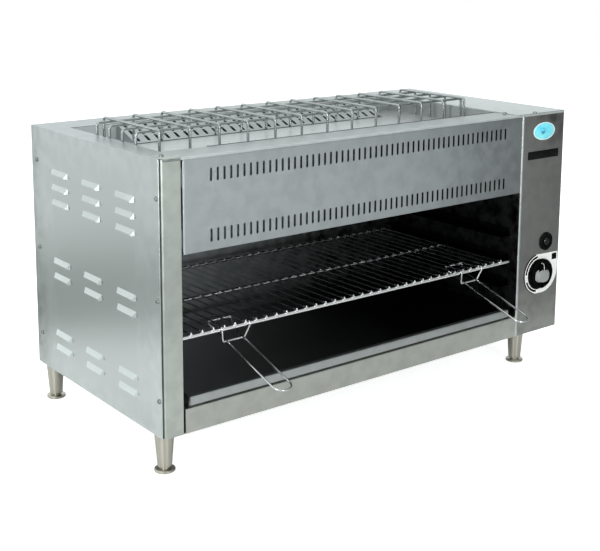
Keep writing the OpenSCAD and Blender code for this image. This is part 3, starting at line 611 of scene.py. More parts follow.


# The body's sheets are one steel: their base colours differ by face, lighter on the top and the side, darker
# on the hood and the control panel, as painted light and shade for how each face is lit.
FINISHES = (
    # side_steel: its layer darkens the panel towards its back edge, painted shade.
    SheetSteel("side_steel", (0.55, 0.59, 0.585), 0.24, grain=0.15, marks=0.03,
               painted_tones=(PaintedTone((0.4, 0.43, 0.427), Facing.BACK, 0.215, 0.262, 1.5),)),
    SheetSteel("frame_steel", (0.48, 0.51, 0.48), 0.3, grain=0.2, marks=0.03),
    SheetSteel("rail_steel", (0.45, 0.468, 0.435), 0.3, grain=0.2, marks=0.03),
    # hood_steel: the first layer darkens the hood towards its right end, painted shade; the second lightens
    # its top bend, a painted highlight.
    SheetSteel("hood_steel", (0.435, 0.466, 0.477), 0.3, brush=Brush.ACROSS, grain=0.2, marks=0.02,
               painted_tones=(PaintedTone((0.345, 0.372, 0.38), Facing.RIGHT, 0.08, 0.26, 1.5),
                       PaintedTone((0.45, 0.48, 0.48), Facing.TOP, 0.4905, 0.4915, 2.0))),
    # top_steel: its layer lightens the top towards the right, over the control top, painted light.
    SheetSteel("top_steel", (0.6, 0.64, 0.635), 0.28, brush=Brush.ACROSS, grain=0.2, marks=0.04,
               painted_tones=(PaintedTone((0.7, 0.75, 0.74), Facing.RIGHT, 0.3, 0.42, 1.5),)),
    # well_steel: its layer darkens the well towards its right end, painted shade.
    SheetSteel("well_steel", (0.64, 0.68, 0.675), 0.28, metallic=0.45, brush=Brush.ACROSS, grain=0.2,
               marks=0.04, painted_tones=(PaintedTone((0.42, 0.44, 0.435), Facing.RIGHT, 0.1, 0.3, 1.5),)),
    SheetSteel("cover_steel", (0.42, 0.45, 0.45), 0.3, brush=Brush.ACROSS, grain=0.2, marks=0.04),
    # panel_steel: its layers darken the panel towards its top and its bottom, painted shade, and turn
    # everything a couple of millimetres behind its front face near black, painted shade on its return
    # flange.
    SheetSteel("panel_steel", (0.36, 0.367, 0.353), 0.32, grain=0.2, marks=0.03,
               painted_tones=(PaintedTone((0.32, 0.327, 0.315), Facing.TOP, 0.33, 0.46, 1.5),
                       PaintedTone((0.29, 0.296, 0.285), Facing.BOTTOM, -0.24, -0.1, 1.5),
                       PaintedTone((0.015, 0.015, 0.015), Facing.BACK, -0.1585, -0.1565, 1.0))),
    SheetSteel("rear_steel", (0.5, 0.52, 0.53), 0.42, brush=Brush.ACROSS),
    # cavity_steel: its layer darkens the cavity towards its right and its back, painted shade.
    SheetSteel("cavity_steel", (0.36, 0.38, 0.385), 0.38, brush=Brush.INWARD, wear=0.2,
               painted_tones=(PaintedTone((0.02, 0.021, 0.021), Facing.SLANTED, -0.3, 0.2, 1.5),)),
    # tray_steel: the first layer darkens the tray towards its right, painted shade; the second keeps its
    # front lip lighter, painted light.
    SheetSteel("tray_steel", (0.36, 0.38, 0.385), 0.36, brush=Brush.ACROSS,
               painted_tones=(PaintedTone((0.02, 0.021, 0.021), Facing.RIGHT, -0.42, 0.12),
                       PaintedTone((0.4, 0.42, 0.42), Facing.FRONT, 0.146, 0.152, 2.0))),
    SheetSteel("element_sheath", (0.07, 0.068, 0.066), 0.55, brush=Brush.NONE, wear=0.1),
    SheetSteel("leg_metal", (0.52, 0.5, 0.435), 0.3, brush=Brush.UPRIGHT, grain=0.15, spun=0.85),
    BrightWire("fasteners", (0.3, 0.31, 0.31), 0.24, dull=(0.2, 0.2, 0.2)),
    BrightWire("chrome_wire", (0.68, 0.7, 0.71)),
    # rod_steel: near white at the front, painted light on the front rod; its layer darkens the rods behind
    # the front, painted shade inside the cavity.
    SheetSteel("rod_steel", (0.93, 0.95, 0.96), 0.22, brush=Brush.NONE, grain=0.1, marks=0.05,
               painted_tones=(PaintedTone((0.26, 0.27, 0.275), Facing.BACK, -0.12, -0.1, 4.0),)),
    # tip_painted_highlight: a near-white finish for the sleeves over the shelf wires' front ends, a painted
    # highlight.
    BrightWire("tip_painted_highlight", (0.95, 0.97, 0.98), 0.3, dull=(0.8, 0.82, 0.83), dulling=0.1),
    # runner_steel: its layer turns the runners near black behind their front ends, painted shade inside the
    # cavity.
    SheetSteel("runner_steel", (0.45, 0.44, 0.4), 0.34, grain=0.2, wear=0.0,
               painted_tones=(PaintedTone((0.012, 0.012, 0.012), Facing.BACK, -0.1375, -0.1365, 1.5),)),
    BrightWire("guard_wire", (0.4, 0.425, 0.42), 0.24, dull=(0.28, 0.3, 0.29)),
    BrightWire("shaft_brass", (0.66, 0.5, 0.22), 0.25, dull=(0.35, 0.25, 0.1)),
    Moulded("ceramic_white", (0.82, 0.79, 0.72), 0.25, texture=0.1),
    Moulded("regulator_case", (0.72, 0.69, 0.6), 0.45),
    Moulded("knob_plastic", (0.0012, 0.0012, 0.0013), 0.34, specular=0.01),
    Moulded("black_plastic", (0.0015, 0.0018, 0.002), 0.34, specular=0.05),
    Moulded("wire_sleeve", (0.42, 0.42, 0.43), 0.7, texture=0.9),
    SheetSteel("bezel_foil", (0.62, 0.64, 0.66), 0.3, brush=Brush.ACROSS, wear=0.2),
    TintedLens("lamp_lens", (0.002, 0.0016, 0.0018)),
    # insulation: a dark sooty grey, partly soot and partly painted shade, so that it reads dark behind the
    # hood's slots.
    FibreBlanket("insulation", (0.3, 0.28, 0.24)),
    Moulded("knob_face", (0.3, 0.31, 0.31), 0.3, texture=0.2, rub=0.1),
    Moulded("bezel_pale", (0.95, 0.95, 0.93), 0.35, texture=0.1, rub=0.05),
    # Roll finishes: lighter than the front sheets they edge, a painted highlight along the rolled edges.
    SheetSteel("roll_painted_highlight", (0.5, 0.535, 0.53), 0.36, metallic=0.4, grain=0.1, marks=0.02),
    SheetSteel("side_roll_painted_highlight", (0.56, 0.59, 0.585), 0.3, metallic=0.8, grain=0.1, marks=0.02),
    Moulded("pointer_paint", (0.75, 0.76, 0.76), 0.4, texture=0.1, rub=0.1),
    Moulded("print_black", (0.0012, 0.0012, 0.0013), 0.4, texture=0.1, specular=0.01),
    Moulded("print_white", (0.78, 0.8, 0.8), 0.4, texture=0.1, rub=0.05),
    # joint_painted_shade: near black, for the lines laid in the joints at the well's rim and the cover's
    # foot, painted shade.
    Moulded("joint_painted_shade", (0.09, 0.095, 0.095), 0.6, texture=0.2, rub=0.0, specular=0.2),
    # baffle_grey: its layer darkens the baffles towards the right, to near black, painted shade.
    SheetSteel("baffle_grey", (0.42, 0.44, 0.46), 0.5, brush=Brush.ACROSS, grain=0.1, marks=0.05,
               wear=0.0, painted_tones=(PaintedTone((0.004, 0.0045, 0.0045), Facing.RIGHT, -0.32, 0.08, 4.0),)),
    Moulded("badge_black", (0.004, 0.0045, 0.0045), 0.3, texture=0.05, rub=0.2, specular=0.1),
)


class FinishBook:
    """Builds each finish's material once, at its first use."""

    def __init__(self, finishes: Sequence[Finish]) -> None:
        """Lists the finishes by name."""
        self._finishes = {finish.name: finish for finish in finishes}
        self._made: dict[str, bpy.types.Material] = {}

    def add(self, finish: Finish) -> None:
        """Adds a finish that needs a place on the object."""
        self._finishes[finish.name] = finish

    def get(self, name: str) -> bpy.types.Material:
        """Gives the material of that name, built at its first use.

        Args:
            name: A slot of the record, or a small piece's finish.

        Returns:
            The material.
        """
        if name not in self._made:
            self._made[name] = self._finishes[name].material()
        return self._made[name]


BOOK = FinishBook(FINISHES)
OWN_FINISH = {"bottom_front_rail": "rail_steel", "vent_well": "well_steel", "vent_cover": "cover_steel",
              "shelf_rods": "rod_steel", "right_runners": "runner_steel"}


def dress_nodes(nodes: dict[str, bpy.types.Object], record: dict) -> None:
    """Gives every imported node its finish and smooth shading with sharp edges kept.

    Args:
        nodes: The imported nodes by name.
        record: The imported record.
    """
    slots = {part["node"]: part["material_slot"] for part in record["subparts"]}
    for name, node in nodes.items():
        node.data.materials.clear()
        node.data.materials.append(BOOK.get(OWN_FINISH.get(name, slots[name])))
        node.data.shade_smooth()
        split = node.modifiers.new("sharp_edges", "EDGE_SPLIT")
        split.split_angle = math.radians(NODE_SHARP)
    LOG.info("dressed %d packed nodes", len(nodes))


# ---------------------------------------------------------------- mesh tools


def link(name: str, data: bpy.types.ID) -> bpy.types.Object:
    """Makes an object from its data and links it into the scene.

    Args:
        name: The object's name.
        data: Its mesh, lamp or camera data.

    Returns:
        The new object.
    """
    item = bpy.data.objects.new(name, data)
    bpy.context.scene.collection.objects.link(item)
    return item


def mesh_data(name: str, mesh: bmesh.types.BMesh) -> bpy.types.Mesh:
    """Turns a bmesh into mesh data.

    Args:
        name: The data's name.
        mesh: The bmesh, freed here.

    Returns:
        The new mesh data.
    """
    data = bpy.data.meshes.new(name)
    mesh.to_mesh(data)
    mesh.free()
    return data


def piece(name: str, mesh: bmesh.types.BMesh, body: str, slot: str, finish: str | None = None,
          sharp: float = 35.0) -> bpy.types.Object:
    """Turns a bmesh into a piece that rides on a body.

    Args:
        name: The piece's name.
        mesh: The mesh in frame metres, freed here.
        body: The body it rides on.
        slot: The record's material slot.
        finish: The finish, where it isn't the slot's own.
        sharp: Angle in degrees above which an edge stays sharp.

    Returns:
        The new object.
    """
    bmesh.ops.recalc_face_normals(mesh, faces=mesh.faces)
    item = link(name, mesh_data(name, mesh))
    item.data.shade_smooth()
    item.data.materials.append(BOOK.get(finish or slot))
    split = item.modifiers.new("sharp_edges", "EDGE_SPLIT")
    split.split_angle = math.radians(sharp)
    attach(item, body)
    LOG.info("piece %s on %s", name, body)
    return item


def rectangle(left: float, right: float, bottom: float, top: float) -> list[Flat]:
    """Gives a rectangle's corners from its four edges."""
    return [(left, bottom), (right, bottom), (right, top), (left, top)]


def circle(steps: int) -> list[float]:
    """Gives evenly spaced angles of one full turn, in radians."""
    return [2 * math.pi * k / steps for k in range(steps)]


def bridge(mesh: bmesh.types.BMesh, rings: Sequence[Ring]) -> None:
    """Joins each ring of vertices to the next one with faces.

    Args:
        mesh: The mesh that holds the rings.
        rings: Rings of one length, or single vertices where the form comes to a point.
    """
    for low, high in zip(rings, rings[1:]):
        count = max(len(low), len(high))
        for k in range(count):
            m = (k + 1) % count
            corners = (low[k % len(low)], low[m % len(low)], high[m % len(high)], high[k % len(high)])
            unique = list(dict.fromkeys(corners))
            if len(unique) > 2:
                mesh.faces.new(unique)


def lathe(mesh: bmesh.types.BMesh, profile: Sequence[Flat], steps: int, place: Placer,
          ripple: Callable[[float, int], float] | None = None) -> None:
    """Adds a turned form.

    Args:
        mesh: The mesh to add to.
        profile: Radius and height along the axis, from one pole to the other.
        steps: Number of steps round.
        place: Turns across, across and along-axis millimetres into a frame point.
        ripple: Radius added at an angle and a profile index.
    """
    rings = []
    for row, (radius, height) in enumerate(profile):
        if radius < 1e-6:
            rings.append([mesh.verts.new(place(0.0, 0.0, height))])
            continue
        spokes = [(t, radius + (ripple(t, row) if ripple else 0.0)) for t in circle(steps)]
        rings.append([mesh.verts.new(place(r * math.cos(t), r * math.sin(t), height)) for t, r in spokes])
    bridge(mesh, rings)


def prism(mesh: bmesh.types.BMesh, outline: Sequence[Flat], near: float, far: float, place: Placer,
          round_off: float = 0.0) -> None:
    """Adds a flat plate from its outline, with its near edge rounded off.

    Args:
        mesh: The mesh to add to.
        outline: Corners in the plate's plane.
        near: Depth of the visible face.
        far: Depth of the back.
        place: Turns plane and depth millimetres into a frame point.
        round_off: Width of the rounded near edge.
    """
    mid_x, mid_z = (sum(p[k] for p in outline) / len(outline) for k in (0, 1))
    levels = [(0.0, far), (0.0, near + round_off)]
    if round_off:
        levels += [(round_off * 0.3, near + round_off * 0.3), (round_off, near)]
    rings = []
    for inset, depth in levels:
        ring = []
        for x, z in ((x - mid_x, z - mid_z) for x, z in outline):
            share = 1 - inset / math.hypot(x, z)
            ring.append(mesh.verts.new(place(mid_x + x * share, mid_z + z * share, depth)))
        rings.append(ring)
    bridge(mesh, rings)
    mesh.faces.new(rings[0])
    mesh.faces.new(rings[-1])


def face_plate(mesh: bmesh.types.BMesh, outline: Sequence[Flat], out: float, back: float, place: Placer,
               round_off: float = 0.0) -> None:
    """Adds a plate that lies on the front face.

    Args:
        mesh: The mesh to add to.
        outline: Its corners, across and up.
        out: Height of its face above the panel.
        back: Height of its back above the panel.
        place: Places across, up and out.
        round_off: Width of the rounded edge of its face.
    """
    prism(mesh, outline, -out, -back, lambda a, b, d: place(a, b, -d), round_off)


def arc_points(cx: float, cz: float, radius: float, start: float, end: float, steps: int) -> list[Flat]:
    """Gives points along an arc.

    Args:
        cx: Centre, across.
        cz: Centre, up.
        radius: Radius.
        start: First angle in degrees.
        end: Last angle in degrees.
        steps: Number of steps.

    Returns:
        The points, both ends included.
    """
    angles = [math.radians(start + (end - start) * k / steps) for k in range(steps + 1)]
    return [(cx + radius * math.cos(a), cz + radius * math.sin(a)) for a in angles]


def round_corner(a: Vector, b: Vector, c: Vector, radius: float, steps: int) -> list[Vector]:
    """Replaces a path's corner with an arc.

    Args:
        a: Point before the corner.
        b: The corner.
        c: Point after the corner.
        radius: Bend radius.
        steps: Number of steps.

    Returns:
        The arc's points.
    """
    u, w = (a - b).normalized(), (c - b).normalized()
    half = math.acos(max(-1.0, min(1.0, u.dot(w)))) / 2
    centre = b + (u + w).normalized() * radius / math.sin(half)
    start, end = (b + leg * radius / math.tan(half) - centre for leg in (u, w))
    turn = math.pi - 2 * half
    parts = [(math.sin(turn * (1 - k / steps)), math.sin(turn * k / steps)) for k in range(steps + 1)]
    return [centre + (start * p + end * q) / math.sin(turn) for p, q in parts]


def bent_wire(mesh: bmesh.types.BMesh, path: Sequence[Vector], radius: float, side: Vector,
              closed: bool = False, sides: int = 20) -> None:
    """Adds a round wire along a path.

    Args:
        mesh: The mesh to add to.
        path: Points in frame metres.
        radius: Wire radius in metres.
        side: A direction that isn't along the path's start.
        closed: Whether the path joins its start.
        sides: Number of sides round the wire.
    """
    count = len(path)
    rings = []
    for k, point in enumerate(path):
        before = path[(k - 1) % count] if closed or k else point
        after = path[(k + 1) % count] if closed or k < count - 1 else point
        along = ((point - before).normalized() + (after - point).normalized()).normalized()
        side = (side - along * side.dot(along)).normalized()
        other = along.cross(side)
        rings.append([mesh.verts.new(point + radius * (math.cos(t) * side + math.sin(t) * other))
                      for t in circle(sides)])
    bridge(mesh, rings + rings[:1] if closed else rings)
    if closed:
        return
    dome = radius * 0.35
    for ring, ahead in ((rings[0], path[0] - path[1]), (rings[-1], path[-1] - path[-2])):
        centre = sum((v.co for v in ring), Vector()) / sides
        bridge(mesh, [ring, [mesh.verts.new(centre + ahead.normalized() * dome)]])


def bead(mesh: bmesh.types.BMesh, centre: Vector, size: Vector) -> None:
    """Adds a weld bead: a small flattened ball with an uneven skin.

    Args:
        mesh: The mesh to add to.
        centre: Its centre in frame metres.
        size: Its half sizes in metres.
    """
    made = bmesh.ops.create_icosphere(mesh, subdivisions=1, radius=1.0)
    for vert in made["verts"]:
        waves = math.sin(vert.co.x * 5 + centre.x * 900) * math.cos(vert.co.y * 4 + centre.y * 700)
        uneven = 1 + 0.12 * waves
        vert.co = Vector(vert.co[k] * size[k] * uneven + centre[k] for k in range(3))


def front_place(cx: float, cz: float) -> Placer:
    """Places a form on the front face: across, up and out towards the viewer.

    Args:
        cx: The axis, across.
        cz: The axis, up.

    Returns:
        A placing function in millimetres.
    """
    return lambda a, b, out: CABINET.at(cx + a, -out, cz + b)


# ---------------------------------------------------------------- sub-assemblies


@dataclass
class LiftingHandle:
    """One lifting handle: a grip loop and a stirrup that hooks over the front rod."""

    side: str
    wire: float = 3.2
    rod_y: float = 12.0
    grip_drop: float = 21.6
    grip_slope: float = 0.31
    grip_half: float = 16.0
    bend_out: float = 15.0
    bar_half: float = 20.5
    bar_y: float = 14.0

    def __post_init__(self) -> None:
        """Reads the handle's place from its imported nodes."""
        low, high = CABINET.box("handle_grip_" + self.side)
        hook_low, hook_high = CABINET.box("handle_hook_" + self.side)
        radius = self.wire / 2
        self.x, _ = CABINET.middle("handle_grip_" + self.side)
        self.tip_y = low.y + radius
        self.press = Vector((0.0, high.y - radius, high.z - radius))
        self.hook_half = (hook_high.x - hook_low.x) / 2 - radius
        self.hook_r = (hook_high.y - hook_low.y) / 2 - radius
        self.rod_z = hook_high.z - radius - self.hook_r

    def grip_z(self, y: float) -> float:
        """Height of the grip's wires at a distance from the front."""
        return self.rod_z - self.grip_drop + self.grip_slope * (y - 4)

    def grip_path(self) -> list[Vector]:
        """Gives the grip loop's centre line.

        Returns:
            The closed path in frame metres.
        """
        knee_y, flare_half = 37.0, 24.5
        tip = (self.tip_y, self.grip_z(self.tip_y))
        knee = (knee_y, self.grip_z(knee_y))
        flare = (self.press.y, self.press.z)
        corners = [(-self.grip_half, *tip), (self.grip_half, *tip), (self.grip_half, *knee),
                   (flare_half, *flare), (-flare_half, *flare), (-self.grip_half, *knee)]
        radii = [self.bend_out, self.bend_out, 8, 4, 4, 8]
        points = [CABINET.at(self.x + x, y, z) for x, y, z in corners]
        count = len(points)
        path = []
        for k in range(count):
            path += round_corner(points[k - 1], points[k], points[(k + 1) % count], radii[k] * MM, 10)
        return path

    def hook_path(self) -> list[Vector]:
        """Gives the stirrup's centre line, from one hook over the rod to the other.

        Returns:
            The open path in frame metres.
        """
        bend, touch = 4 * MM, 0.3
        low_bar = (self.bar_y, self.grip_z(self.bar_y) - self.wire + touch)
        over = [(self.rod_y + self.hook_r * math.cos(math.radians(a)),
                 self.rod_z + self.hook_r * math.sin(math.radians(a))) for a in range(-20, 180, 10)]
        front = (self.rod_y - self.hook_r, self.rod_z)
        left = [CABINET.at(self.x - self.hook_half, y, z) for y, z in over]
        right = [CABINET.at(self.x + self.hook_half, y, z) for y, z in reversed(over)]
        ends = [CABINET.at(self.x - self.hook_half, *front), CABINET.at(self.x - self.bar_half, *low_bar),
                CABINET.at(self.x + self.bar_half, *low_bar), CABINET.at(self.x + self.hook_half, *front)]
        bar = [ends[0]] + round_corner(ends[0], ends[1], ends[2], bend, 6)
        bar += round_corner(ends[1], ends[2], ends[3], bend, 6) + [ends[3]]
        return left + bar + right

    def build(self) -> None:
        """Builds the grip, the stirrup and the weld beads between them."""
        body = "handle_" + self.side
        radius = self.wire / 2 * MM
        grip = bmesh.new()
        bent_wire(grip, self.grip_path(), radius, Vector((0, 0, 1)), closed=True)
        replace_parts(piece(f"grip_loop_{self.side}", grip, body, "chrome_wire"), "handle_grip_" + self.side)
        hook = bmesh.new()
        bent_wire(hook, self.hook_path(), radius, Vector((1, 0, 0)))
        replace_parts(piece(f"stirrup_{self.side}", hook, body, "chrome_wire"), "handle_hook_" + self.side)
        beads = bmesh.new()
        for sign in (-1, 1):
            seat = self.grip_z(self.bar_y) - self.wire / 2 + 0.1
            spot = CABINET.at(self.x + sign * self.grip_half, self.bar_y, seat)
            bead(beads, spot, Vector((1.7, 1.9, 1.0)) * MM)
        piece(f"handle_welds_{self.side}", beads, body, "chrome_wire")


@dataclass
class ControlKnob:
    """The heat knob: a black skirt, a raised bar that ends in a grey cap, and a pointer
    line along the bar's shoulder."""

    skirt_t: float = 7.0
    bar_half: float = 12.0
    cap_half_w: float = 15.2
    cap_half_h: float = 11.6
    cap_drop: float = 3.6
    bar_shift: float = -4.5
    cap_shift: float = -2.2
    turn: float = -7.0

    def __post_init__(self) -> None:
        """Reads the knob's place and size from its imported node."""
        low, high = CABINET.box("control_knob")
        self.x, self.z = CABINET.middle("control_knob")
        self.radius = (high.x - low.x) / 2 - 0.5
        self.back, self.face = -high.y, -low.y
        self.skirt = self.back + self.skirt_t

    def place(self, a: float, b: float, out: float) -> Vector:
        """Places a point by its distance across, along and out from the panel, on the
        turned knob."""
        t = math.radians(self.turn)
        return CABINET.at(self.x + a * math.cos(t) - b * math.sin(t), -out,
                          self.z + a * math.sin(t) + b * math.cos(t))

    def bar_top(self, b: float) -> float:
        """Gives the height of the bar's upper face.

        Args:
            b: Distance above the knob's axis, along the bar.

        Returns:
            The height above the panel.
        """
        shoulder, slope_start, slope_end = self.skirt + 3.5, -1, 6
        if b < slope_start:
            return self.face
        if b < slope_end:
            return self.face + (shoulder - self.face) * (b - slope_start) / (slope_end - slope_start)
        return shoulder - 1.5 * (b - slope_end) / 20

    def bar(self) -> bmesh.types.BMesh:
        """Builds the bar as rings that follow its outline and close along its middle.

        Returns:
            The bar's mesh.
        """
        mesh = bmesh.new()
        top, half = self.radius - 3.5, self.bar_half
        tip = half * 0.7
        right = [(half - 5, 0.0), (half - 1.5, 1.5), (half, 3.5), (half * 0.93, 6.0), (half * 0.82, 10.0)]
        right += arc_points(0, top - tip, tip, 0, 80, 8)
        outline = right + [(-a, b) for a, b in reversed(right)]
        rings = [[mesh.verts.new(self.place(a + self.bar_shift, b, self.skirt - 0.3)) for a, b in outline]]
        for share, drop in ((1.0, 1.4), (0.97, 0.6), (0.9, 0.15), (0.8, 0.0), (0.4, 0.0), (0.02, 0.0)):
            sag = (1 - share) * 0.6
            spots = [(a * share + self.bar_shift, b - sag, self.bar_top(b) - drop) for a, b in outline]
            rings.append([mesh.verts.new(self.place(*spot)) for spot in spots])
        bridge(mesh, rings)
        bmesh.ops.remove_doubles(mesh, verts=mesh.verts, dist=0.48 * MM)
        return mesh

    def cap(self) -> bmesh.types.BMesh:
        """Builds the grey cap over the bar's lower end.

        Returns:
            The cap's mesh.
        """
        mesh = bmesh.new()
        squareness, steps = 0.75, 48
        levels = ((-4.8, self.skirt - 0.4), (-4.0, self.skirt + 0.8), (-0.9, self.face - 2.4),
                  (0.0, self.face - 1.3), (1.2, self.face - 0.4), (3.4, self.face + 0.2))
        rings = []
        for inset, out in levels:
            ring = []
            for t in circle(steps):
                a, b = (math.copysign(abs(part) ** squareness, part) for part in (math.cos(t), math.sin(t)))
                a *= self.cap_half_w - inset
                b *= self.cap_half_h - inset * 0.4
                ring.append(mesh.verts.new(self.place(a + self.cap_shift, b - self.cap_drop, out)))
            rings.append(ring)
        rings.append([mesh.verts.new(self.place(self.cap_shift, -self.cap_drop, self.face + 0.35))])
        bridge(mesh, rings)
        mesh.faces.new(rings[0])
        return mesh

    def build(self) -> None:
        """Builds the skirt, the bar, its cap and the pointer line."""
        rim, back, skirt = self.radius, self.back, self.skirt
        body = bmesh.new()
        profile = [(8.5, back), (rim - 0.6, back), (rim, back + 0.6), (rim, skirt - 3.0),
                   (rim - 0.4, skirt - 1.5), (rim - 1.4, skirt - 0.5), (rim - 2.8, skirt),
                   (rim - 5.0, skirt - 0.3), (0.0, skirt - 0.3)]
        lathe(body, profile, 120, self.place)
        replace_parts(piece("knob_skirt", body, "control_knob", "knob_plastic", sharp=50), "control_knob")
        piece("knob_bar", self.bar(), "control_knob", "knob_plastic", sharp=50)
        piece("knob_cap", self.cap(), "control_knob", "knob_plastic", "knob_face", sharp=50)
        line = bmesh.new()
        run = ((-12.0, 21.6, 0.2), (-9.5, 21.9, 0.0), (-6.5, 20.6, -0.1), (-4.2, 17.6, -0.1),
               (-3.2, 14.0, -0.1), (-2.8, 10.5, -0.1), (-2.2, 5.0, -0.1))
        path = [self.place(a, b, self.bar_top(b) - sunk) for a, b, sunk in run]
        bent_wire(line, path, 0.55 * MM, Vector((0, -1, 0)), sides=8)
        piece("knob_pointer", line, "control_knob", "knob_plastic", "pointer_paint", sharp=60)


@dataclass
class KnobBezel:
    """The knob's bezel plate: a pale ring with one drawn-out corner, dark heat arcs, a
    dark rim line and a square mark, no words."""

    ring_x: float = -7.0
    ring_z: float = -0.5
    ring_r: float = 38.8
    side_r: float = 44.5
    arc_in: float = 31.7
    arc_out: float = 35.9
    disc_r: float = 30.2
    square: tuple[float, float, float, float] = (31.8, 45.6, 22.0, 34.2)
    print_t: float = 0.15

    def outline(self) -> list[Flat]:
        """Gives the plate's outline about the knob's axis.

        Returns:
            Corner points, across and up.
        """
        side_x, side_z = 4.5, 5.0
        corner_x, corner_z, corner_r = 48.4, 36.6, 2.0
        points = arc_points(self.ring_x, self.ring_z, self.ring_r, 92, 270, 30)
        points += arc_points(side_x, side_z, self.side_r, -88, 8, 18)
        points += arc_points(corner_x - corner_r, corner_z - corner_r, corner_r, 0, 92, 5)
        return points

    def build(self) -> None:
        """Builds the plate, its print and a black disc round the knob."""
        low, _ = CABINET.box("knob_bezel")
        place = front_place(*CABINET.middle("control_knob"))
        face = -low.y

        def band(inner: float, outer: float, start: float, end: float) -> list[Flat]:
            """Outlines a part of a ring between two angles."""
            return (arc_points(self.ring_x, self.ring_z, outer, start, end, 20)
                    + arc_points(self.ring_x, self.ring_z, inner, end, start, 20))

        plate = bmesh.new()
        face_plate(plate, self.outline(), face, 0.0, place)
        pale = piece("bezel_plate", plate, "cabinet", "bezel_foil", "bezel_pale", sharp=30)
        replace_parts(pale, "knob_bezel")
        printed = face + self.print_t
        marks = bmesh.new()
        for start, end in ((94, 176), (201, 263)):
            face_plate(marks, band(self.arc_in, self.arc_out, start, end), printed, face, place)
        face_plate(marks, band(self.ring_r - 0.7, self.ring_r + 0.3, 100, 255), printed, 0.0, place)
        # A black disc round the knob's back, set a little to the left of the knob: it darkens the plate
        # round the skirt.
        disc = arc_points(self.ring_x + 1.0, self.ring_z - 0.6, self.disc_r, 0, 355, 71)
        face_plate(marks, disc, printed, face, place)
        face_plate(marks, rectangle(*self.square), printed, face, place)
        piece("bezel_marks", marks, "cabinet", "bezel_foil", "print_black", sharp=20)
        white = bmesh.new()
        face_plate(white, band(self.arc_in - 0.5, self.ring_r - 0.9, 180, 197), printed, face, place)
        piece("bezel_off_mark", white, "cabinet", "bezel_foil", "print_white", sharp=20)


@dataclass
class PilotLamp:
    """The pilot lamp's rim, with six flats, round its dark lens."""

    flats: int = 6
    flat_share: float = 0.965

    def build(self) -> None:
        """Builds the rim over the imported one."""
        low, high = CABINET.box("pilot_bezel")
        radius, out = (high.x - low.x) / 2, -low.y
        bore, shank, behind = 7.6, 11.0, -12.0
        profile = [(bore, behind), (shank, behind), (shank, 0.0), (radius, 0.0), (radius, out - 1.4),
                   (radius - 1.6, out), (radius - 5.5, out), (radius - 6.5, out - 1.0), (8.6, out - 1.2),
                   (bore, out - 2.2), (bore, behind)]

        def flat(angle: float, row: int) -> float:
            """Draws the rim's three outer rows in to the flats.

            Args:
                angle: Angle round the rim, in radians.
                row: Index in the profile.

            Returns:
                The radius added there, zero or less.
            """
            step = math.pi / self.flats
            reach = self.flat_share / math.cos((angle + step) % (2 * step) - step)
            return profile[row][0] * (reach - 1) if row in (3, 4, 5) and reach < 1 else 0.0

        rim = bmesh.new()
        lathe(rim, profile, 72, front_place(*CABINET.middle("pilot_bezel")), flat)
        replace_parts(piece("pilot_rim", rim, "cabinet", "black_plastic", sharp=25), "pilot_bezel")


@dataclass
class FrontPlates:
    """The bare badge plate and the oval sticker on the control panel."""

    badge_w: float = 86.0
    badge_h: float = 15.5
    badge_r: float = 1.5
    badge_at: Flat = (59.0, 349.5)
    sticker_half_w: float = 30.5
    sticker_half_h: float = 17.0
    sticker_at: Flat = (59.5, 394.0)
    sky: Colour = (0.11, 0.74, 0.97)

    def build(self) -> None:
        """Builds the badge and the sticker."""
        low, _ = CABINET.box("control_panel")
        badge = bmesh.new()
        r = self.badge_r
        cx, cz = self.badge_w / 2 - r, self.badge_h / 2 - r
        outline = []
        for k, corner in enumerate(((cx, cz), (-cx, cz), (-cx, -cz), (cx, -cz))):
            outline += arc_points(*corner, r, 90 * k, 90 * k + 90, 4)
        x, z = self.badge_at
        face_plate(badge, outline, 0.9, 0.0, front_place(low.x + x, z), 0.35)
        piece("badge_plate", badge, "cabinet", "black_plastic", "badge_black")
        x, z = self.sticker_at
        BOOK.add(PrintedOval("sticker_print", self.sky, CABINET.at(low.x + x, 0, z), self.sticker_half_w,
                             self.sticker_half_h))
        sticker = bmesh.new()
        oval = [(self.sticker_half_w * math.cos(t), self.sticker_half_h * math.sin(t)) for t in circle(72)]
        face_plate(sticker, oval, 0.35, 0.0, front_place(low.x + x, z), 0.15)
        piece("oval_sticker", sticker, "cabinet", "bezel_foil", "sticker_print", sharp=60)


